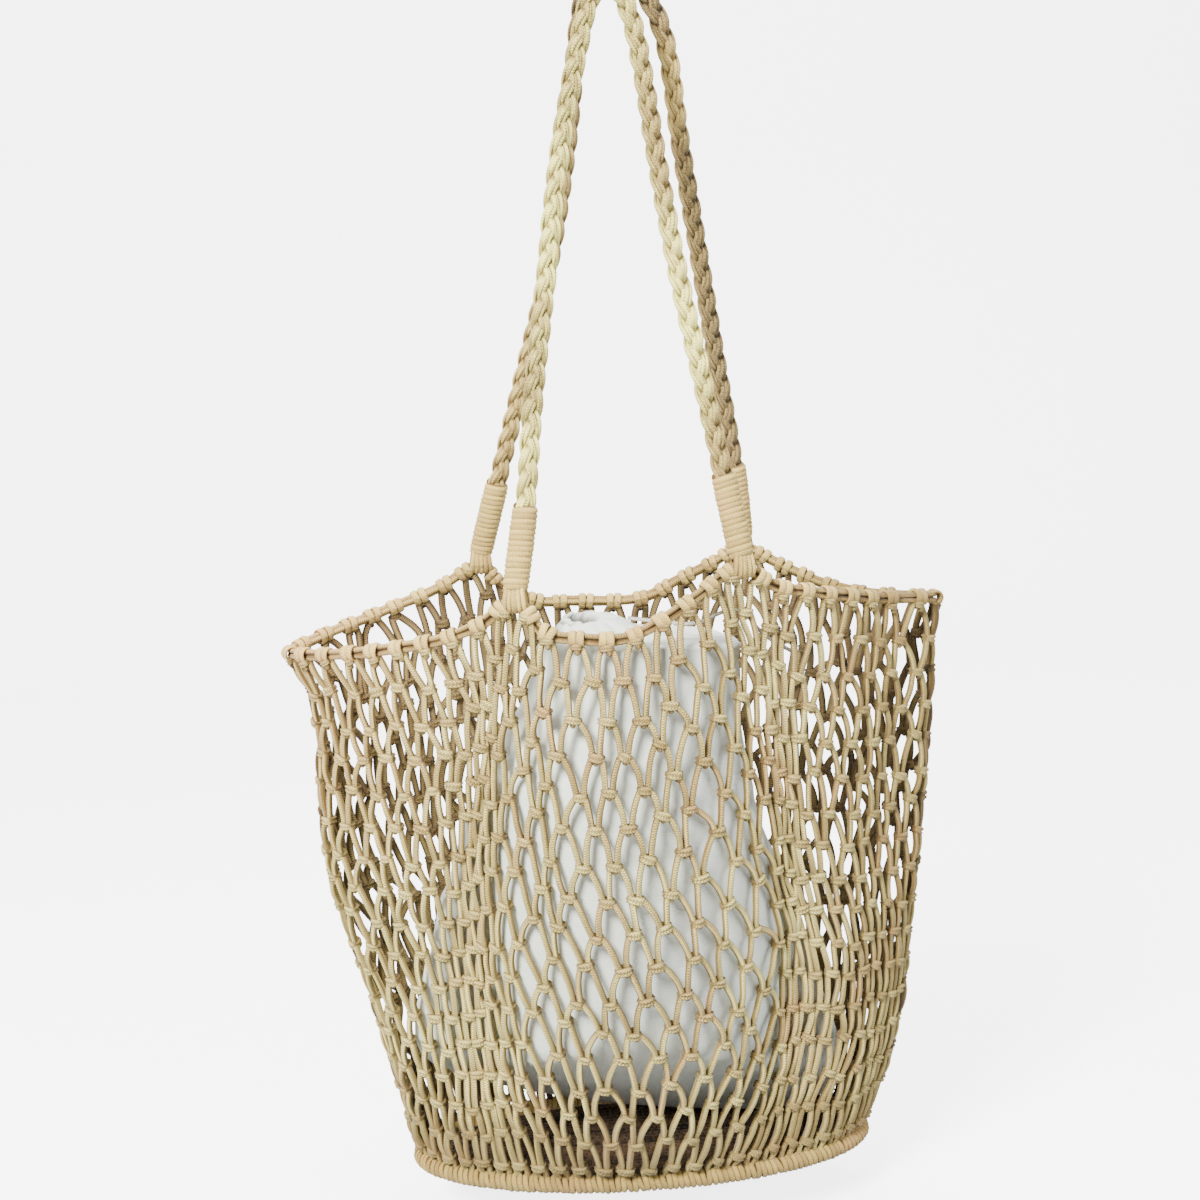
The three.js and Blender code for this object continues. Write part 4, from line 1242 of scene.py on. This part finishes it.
# Materials
PEACH = (0.66, 0.40, 0.15)
# painted shade: the dark brown that the base's cotton is given for the shadow inside the bag
BASE_SHADE_BROWN = (0.19, 0.12, 0.06)
PAINTED_SHADE_COLOUR = (0.22, 0.17, 0.11)  # painted shade: what a cord's colour is multiplied by where it lies under others or in shadow
LINER_LIGHT = (0.82, 0.86, 0.80)
LINER_SHADE = (0.66, 0.72, 0.64)
MOUTH_SHADE = (0.10, 0.09, 0.07)
# Strap cords: the tone along them in full, and strong painted shade on their flanks.
ROUND_STRAND = {"Tone Share": 1.0, "Flank Start": 0.75, "Flank End": 0.1}
CORD_MATERIALS = (
    ("use", "name", "light", "dark", "warm", "further values"),
    ("net_front", "net cotton front", (0.96, 0.85, 0.31), (0.46, 0.33, 0.105), PEACH, {}),
    # The back net's colours are the front's made darker: painted shade, with more painted shade towards the
    # bottom.
    ("net_back", "net cotton back in painted shade", (0.40, 0.30, 0.11), (0.15, 0.10, 0.04), (0.30, 0.18, 0.075),
     {"Low Shade": 0.9}),
    ("net_rim", "rim cotton", (0.74, 0.55, 0.18), (0.36, 0.24, 0.08), PEACH, {}),
    ("looped", "looped cotton", (0.84, 0.64, 0.20), (0.44, 0.30, 0.09), PEACH, {"bump": 0.0003, "gaps": 0.4}),
    # Bound cotton: painted shade between its close turns, and on the base ring towards the bottom.
    ("smooth", "bound cotton", (0.66, 0.49, 0.14), (0.36, 0.25, 0.075), PEACH,
     {"bump": 0.0002, "gaps": 0.2, "Flank Start": 0.95, "Flank End": 0.78, "Low Shade": 0.5}),
    ("strap_front", "front strap cotton", (1.0, 0.93, 0.28), (0.27, 0.17, 0.058), (0.42, 0.26, 0.10),
     {"gaps": 0.4, **ROUND_STRAND}),
    # The back strap's colours are the front strap's made darker: painted shade.
    ("strap_back", "back strap cotton in painted shade", (0.62, 0.46, 0.15), (0.13, 0.09, 0.04), (0.24, 0.15, 0.07),
     {"gaps": 0.4, **ROUND_STRAND}),
    # The base's core and coil are coloured dark brown: painted shade for the shadow inside the bag and
    # between the bound turns.
    ("base", "base cotton in painted shade", BASE_SHADE_BROWN, (0.012, 0.007, 0.004), BASE_SHADE_BROWN,
     {"pick": 0.004, "bump": 0.0008, "Tone Share": 0.7, "Patch Size": 60.0, "Low Shade": 0.0}),
    ("drawstring", "drawstring cotton", (0.85, 0.86, 0.78), (0.7, 0.7, 0.62), (0.8, 0.78, 0.7),
     {"pick": 0.0012}),
)
PATCH_TONE = (1.2, -0.35)  # what the noise of the patches is multiplied by, and what is added to it
GRAIN_TONE = (0.9, -0.45)
GRAIN_SCALE = 1100.0
WARMTH_SCALE = 31.0
GAP_SHADE = 0.95
FLANK_SHADE = 0.95
# Parts of the bag with painted light or painted shade: how strong it gets, then axes with where it begins and
# where it is full
X, Z = 0, 2
# painted warm light on the upper left
WARM_LIGHT_UPPER_LEFT = (0.6, (X, -0.04, -0.2), (Z, -0.52, -0.38))
# painted light on the lower left
LIT_LOWER_LEFT = (0.45, (X, -0.01, -0.07), (Z, -0.44, -0.53), (Z, -0.62, -0.58))
SHADED_RIGHT = (0.62, (X, 0.07, 0.16), (Z, -0.66, -0.56))
SHADED_FOOT = (1.0, (Z, -0.60, -0.645))


def sums(tree, operation, first, second=0.0, third=0.0):
    """One number worked out from up to three."""
    made = node(tree, "ShaderNodeMath", operation=operation)
    for socket, value in zip(made.inputs, (first, second, third)):
        feed(tree, socket, value)
    return made.outputs[0]


def operations(tree, *names):
    """A function for each kind of sum, which adds it to a tree."""
    return [functools.partial(sums, tree, name) for name in names]


def mixed(tree, factor, first, second, way="MIX"):
    made = node(tree, "ShaderNodeMix", data_type="RGBA", blend_type=way)
    for index, value in ((0, factor), (6, first), (7, second)):
        feed(tree, made.inputs[index], value)
    return made.outputs[2]


def stored(tree, name, output="Fac"):
    return node(tree, "ShaderNodeAttribute", attribute_name=name).outputs[output]


def split(tree, vector):
    return node(tree, "ShaderNodeSeparateXYZ", {"Vector": vector}).outputs


def noise(tree, place, scale, detail):
    return node(tree, "ShaderNodeTexNoise", {"Vector": place, "Scale": scale, "Detail": detail}).outputs[0]


def ramp(tree, value, start, end, low=0.0, high=1.0):
    """A soft step from low to high as a value goes from start to end."""
    values = {"Value": value, "From Min": start, "From Max": end, "To Min": low, "To Max": high}
    return node(tree, "ShaderNodeMapRange", values, interpolation_type="SMOOTHSTEP").outputs[0]


def tint(tree, axes, strength, *ramps):
    """How strong painted light or painted shade is at a place, from one of the tables above."""
    for axis, start, end in ramps:
        strength = sums(tree, "MULTIPLY", strength, ramp(tree, axes[axis], start, end))
    return strength


def braid_group():
    """The picks of a round braid: two sets of slanted strands, each over and under the other."""
    inputs = [("Pick", "Float", 0.0016), ("Strands", "Float", 4.0)]
    outputs = [("Height", "Float"), ("Gap", "Float")]
    tree, given, result = new_group("ShaderNodeTree", "braid", inputs, outputs)
    add, less, times, per = operations(tree, "ADD", "SUBTRACT", "MULTIPLY", "DIVIDE")
    floor, fraction, sine = operations(tree, "FLOOR", "FRACT", "SINE")
    across = split(tree, stored(tree, "round", "Vector"))
    turn = times(per(sums(tree, "ARCTAN2", across[1], across[0]), 2 * math.pi), given["Strands"])
    along = per(stored(tree, "along"), given["Pick"])
    right, left = add(along, turn), less(along, turn)
    over = sums(tree, "PINGPONG", add(floor(right), floor(left)), 1.0)
    crest = [sine(times(fraction(line), math.pi)) for line in (right, left)]
    height = add(times(crest[0], over), times(crest[1], less(1.0, over)))
    tree.links.new(height, result["Height"])
    holes = times(less(1.0, crest[0]), less(1.0, crest[1]))
    lines = sums(tree, "POWER", less(1.0, times(crest[0], crest[1])), 3.0)
    gap = sums(tree, "MAXIMUM", times(holes, 2.2), times(lines, 0.6))
    tree.links.new(sums(tree, "MINIMUM", gap, 1.0), result["Gap"])
    return tree


def tone_group():
    """Cotton's colour: paler and warmer patches, a tone for each cord, painted warm light on the upper left
    and painted light on the lower left, and painted shade on flanks, in gaps, under other cords, on the right
    and at the foot.
    """
    inputs = [("Light", "Color", (1, 1, 1, 1)), ("Dark", "Color", (0, 0, 0, 1)),
              ("Warm", "Color", (1, 0, 0, 1)), ("Gap", "Float", 0.0),
              ("Tone Share", "Float", 0.45), ("Patch Size", "Float", 9.0),
              ("Flank Start", "Float", 0.92), ("Flank End", "Float", 0.35), ("Low Shade", "Float", 0.7)]
    tree, given, result = new_group("ShaderNodeTree", "cotton tone", inputs, [("Color", "Color")])
    add, times, scaled, most = operations(tree, "ADD", "MULTIPLY", "MULTIPLY_ADD", "MAXIMUM")
    place = node(tree, "ShaderNodeTexCoord").outputs["Object"]
    axes = split(tree, place)
    shade = add(times(stored(tree, "tone"), given["Tone Share"]),
                scaled(noise(tree, place, given["Patch Size"], 2.0), *PATCH_TONE))
    shade = add(shade, scaled(noise(tree, place, GRAIN_SCALE, 2.0), *GRAIN_TONE))
    base = mixed(tree, ramp(tree, shade, 0.0, 1.0), given["Dark"], given["Light"])
    warm = ramp(tree, noise(tree, place, WARMTH_SCALE, 1.0), 0.5, 0.72, 0.0, 0.5)
    # the warm share: random warm patches, and painted warm light on the upper left
    warm = most(warm, tint(tree, axes, *WARM_LIGHT_UPPER_LEFT))
    base = mixed(tree, warm, base, given["Warm"])
    # painted light on the lower left
    base = mixed(tree, tint(tree, axes, *LIT_LOWER_LEFT), base, given["Light"])
    facing = stored(tree, "facing")
    # painted shade on each cord's flanks, in its gaps, under other cords, on the right and at the foot
    flank = ramp(tree, facing, given["Flank Start"], given["Flank End"], 0.0, FLANK_SHADE)
    painted_shade_share = most(flank, stored(tree, "deep"))
    painted_shade_share = most(painted_shade_share, tint(tree, axes, *SHADED_RIGHT))
    painted_shade_share = most(painted_shade_share, times(tint(tree, axes, *SHADED_FOOT), given["Low Shade"]))
    painted_shade_share = most(painted_shade_share, times(given["Gap"], GAP_SHADE))
    deep = mixed(tree, 1.0, base, (*PAINTED_SHADE_COLOUR, 1), "MULTIPLY")
    tree.links.new(mixed(tree, painted_shade_share, base, deep), result["Color"])
    return tree


def weave_group():
    """Plain weave: threads over and under each other."""
    tree, given, result = new_group("ShaderNodeTree", "plain weave", [("Thread", "Float", 0.0006)],
                                    [("Height", "Float")])
    times, per, sine, size = operations(tree, "MULTIPLY", "DIVIDE", "SINE", "ABSOLUTE")
    cut = split(tree, stored(tree, "cut", "Vector"))
    waves = [sine(times(per(cut[axis], given["Thread"]), math.pi)) for axis in (0, 1)]
    tree.links.new(size(times(*waves)), result["Height"])
    return tree


def principled(name, roughness, sheen=0.0):
    material = bpy.data.materials.new(name)
    material.use_nodes = True
    shader = material.node_tree.nodes["Principled BSDF"]
    shader.inputs["Roughness"].default_value = roughness
    shader.inputs["Specular IOR Level"].default_value = 0.2
    shader.inputs["Sheen Weight"].default_value = sheen
    shader.inputs["Sheen Roughness"].default_value = 0.5
    return material, material.node_tree, shader


def raised(tree, height, distance, strength, **sockets):
    """A normal bent by a height."""
    values = {"Height": height, "Distance": distance, "Strength": strength, **sockets}
    return node(tree, "ShaderNodeBump", values).outputs[0]


BRAID = braid_group()
TONE = tone_group()


def cord_material(name, light, dark, warm, pick=0.0014, bump=0.0005, gaps=1.0, **tones):
    """Braided cotton in three colours; tones are further values of the tone group."""
    material, tree, shader = principled(name, 0.88, 0.1)
    braid = node(tree, "ShaderNodeGroup", {"Pick": pick, "Strands": 3.0}, node_tree=BRAID).outputs
    colours = {"Light": (*light, 1), "Dark": (*dark, 1), "Warm": (*warm, 1)}
    gap = sums(tree, "MULTIPLY", braid["Gap"], gaps)
    tone = node(tree, "ShaderNodeGroup", {**colours, "Gap": gap, **tones}, node_tree=TONE)
    tree.links.new(tone.outputs["Color"], shader.inputs["Base Color"])
    tree.links.new(raised(tree, braid["Height"], bump, 0.8), shader.inputs["Normal"])
    return material


def cloth_material():
    material, tree, shader = principled("liner cotton", 0.85, 0.15)
    weave = node(tree, "ShaderNodeGroup", {"Thread": 0.0007}, node_tree=weave_group())
    place = node(tree, "ShaderNodeTexCoord").outputs["Object"]
    colour = mixed(tree, noise(tree, place, 14.0, 4.0), (*LINER_SHADE, 1), (*LINER_LIGHT, 1))
    colour = mixed(tree, stored(tree, "deep"), colour, (*MOUTH_SHADE, 1))
    tree.links.new(colour, shader.inputs["Base Color"])
    woven = raised(tree, weave.outputs["Height"], 0.00015, 0.6)
    crumpled = raised(tree, noise(tree, place, 55.0, 5.0), 0.002, 0.5, Normal=woven)
    tree.links.new(crumpled, shader.inputs["Normal"])
    return material


def plain_material(name, colour, glow, roughness=0.9):
    material, _, shader = principled(name, roughness)
    shader.inputs["Base Color"].default_value = (*colour, 1)
    shader.inputs["Emission Color"].default_value = (*colour, 1)
    shader.inputs["Emission Strength"].default_value = glow
    return material


def make_materials():
    made = {}
    for use, name, light, dark, warm, more in CORD_MATERIALS[1:]:
        made[use] = cord_material(name, light, dark, warm, **more)
    made["liner"] = cloth_material()
    return made


# Stage
STAGE_COLOUR = (0.87, 0.87, 0.87)
STAGE_GLOW = 4.5
SWEEP_FRONT = -2.2
SWEEP_BACK = 1.5
SWEEP_RADIUS = 0.8
SWEEP_HALF_WIDTH = 4.0
SWEEP_TOP = 2.6


def make_stage():
    """A pale floor that curves up into a wall behind the bag."""
    bend = [(SWEEP_BACK + SWEEP_RADIUS * math.sin(a), FLOOR_Z + SWEEP_RADIUS * (1 - math.cos(a)))
            for a in np.linspace(0, math.pi / 2, 24)]
    profile = [(SWEEP_FRONT, FLOOR_Z), *bend, (bend[-1][0], SWEEP_TOP)]
    vertices = [(x, y, z) for y, z in profile for x in (-SWEEP_HALF_WIDTH, SWEEP_HALF_WIDTH)]
    faces = [(2 * i, 2 * i + 1, 2 * i + 3, 2 * i + 2) for i in range(len(profile) - 1)]
    mesh = bpy.data.meshes.new("floor")
    mesh.from_pydata(vertices, [], faces)
    floor = linked("floor", mesh)
    floor.data.materials.append(plain_material("floor paint", STAGE_COLOUR, glow=STAGE_GLOW))
    floor.visible_diffuse = False
    smooth_faces(floor)


LIGHTS = (
    ("name", "place", "size", "power", "colour"),
    ("key", (-1.2, -1.7, 1.3), 0.9, 260, (1.0, 0.97, 0.92)),
    ("fill", (1.7, -1.5, 0.2), 1.6, 40, (0.95, 0.98, 1.0)),
    ("top", (0.2, 0.2, 1.7), 1.2, 60, (1.0, 0.99, 0.97)),
)
AIM = (0.0, 0.0, -0.45)
WORLD = ((0.95, 0.96, 1.0), 0.7)


def make_lights():
    for name, place, size, power, colour in LIGHTS[1:]:
        data = bpy.data.lights.new(name, "AREA")
        data.shape = "DISK"
        data.size, data.energy, data.color = size, power, colour
        lamp = linked(name, data)
        lamp.location = place
        lamp.rotation_euler = (Vector(AIM) - Vector(place)).to_track_quat("-Z", "Y").to_euler()
    world = bpy.data.worlds.new("studio")
    world.use_nodes = True
    background = world.node_tree.nodes["Background"]
    background.inputs["Color"].default_value = (*WORLD[0], 1)
    background.inputs["Strength"].default_value = WORLD[1]
    bpy.context.scene.world = world


def stands_for(pieces, nodes):
    """Attaches pieces to the root body and hides the solids that they stand for."""
    for piece in pieces:
        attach(piece, "root")
        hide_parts(*nodes)


make_camera()
materials = make_materials()
drawstring, drawstring_line = make_drawstring(materials["drawstring"])
stands_for([drawstring], ["liner_drawstring"])
drawstring_length = float(np.linalg.norm(np.diff(drawstring_line, axis=0), axis=1).sum())
stands_for(make_net(materials), ["net_wall"])
rim = [holding_cords(materials["net_rim"]), lark_heads(materials["looped"])]
stands_for(rim, ["rim_cord"])
ring = [base_binding(materials["smooth"]), base_core(materials["base"])]
stands_for(ring, ["base_ring"])
stands_for([base_coil(materials["base"])], ["base_panel"])
for side in SIDES:
    strap = make_strap(side, materials[f"strap_{side}"])
    stands_for([strap], [f"handle_{side}"])
for peak in PEAKS:
    whipping = make_whipping(f"whipping_{peak}", peak, materials["smooth"])
    stands_for([whipping], [f"handle_wrap_{peak}"])
    loops = make_rim_loops(f"rim_loops_{peak}", peak, materials["looped"])
    stands_for([loops], [f"handle_loop_{peak}"])
liner = make_liner(materials["liner"])
stands_for([liner], ["liner"])
make_stage()
make_lights()
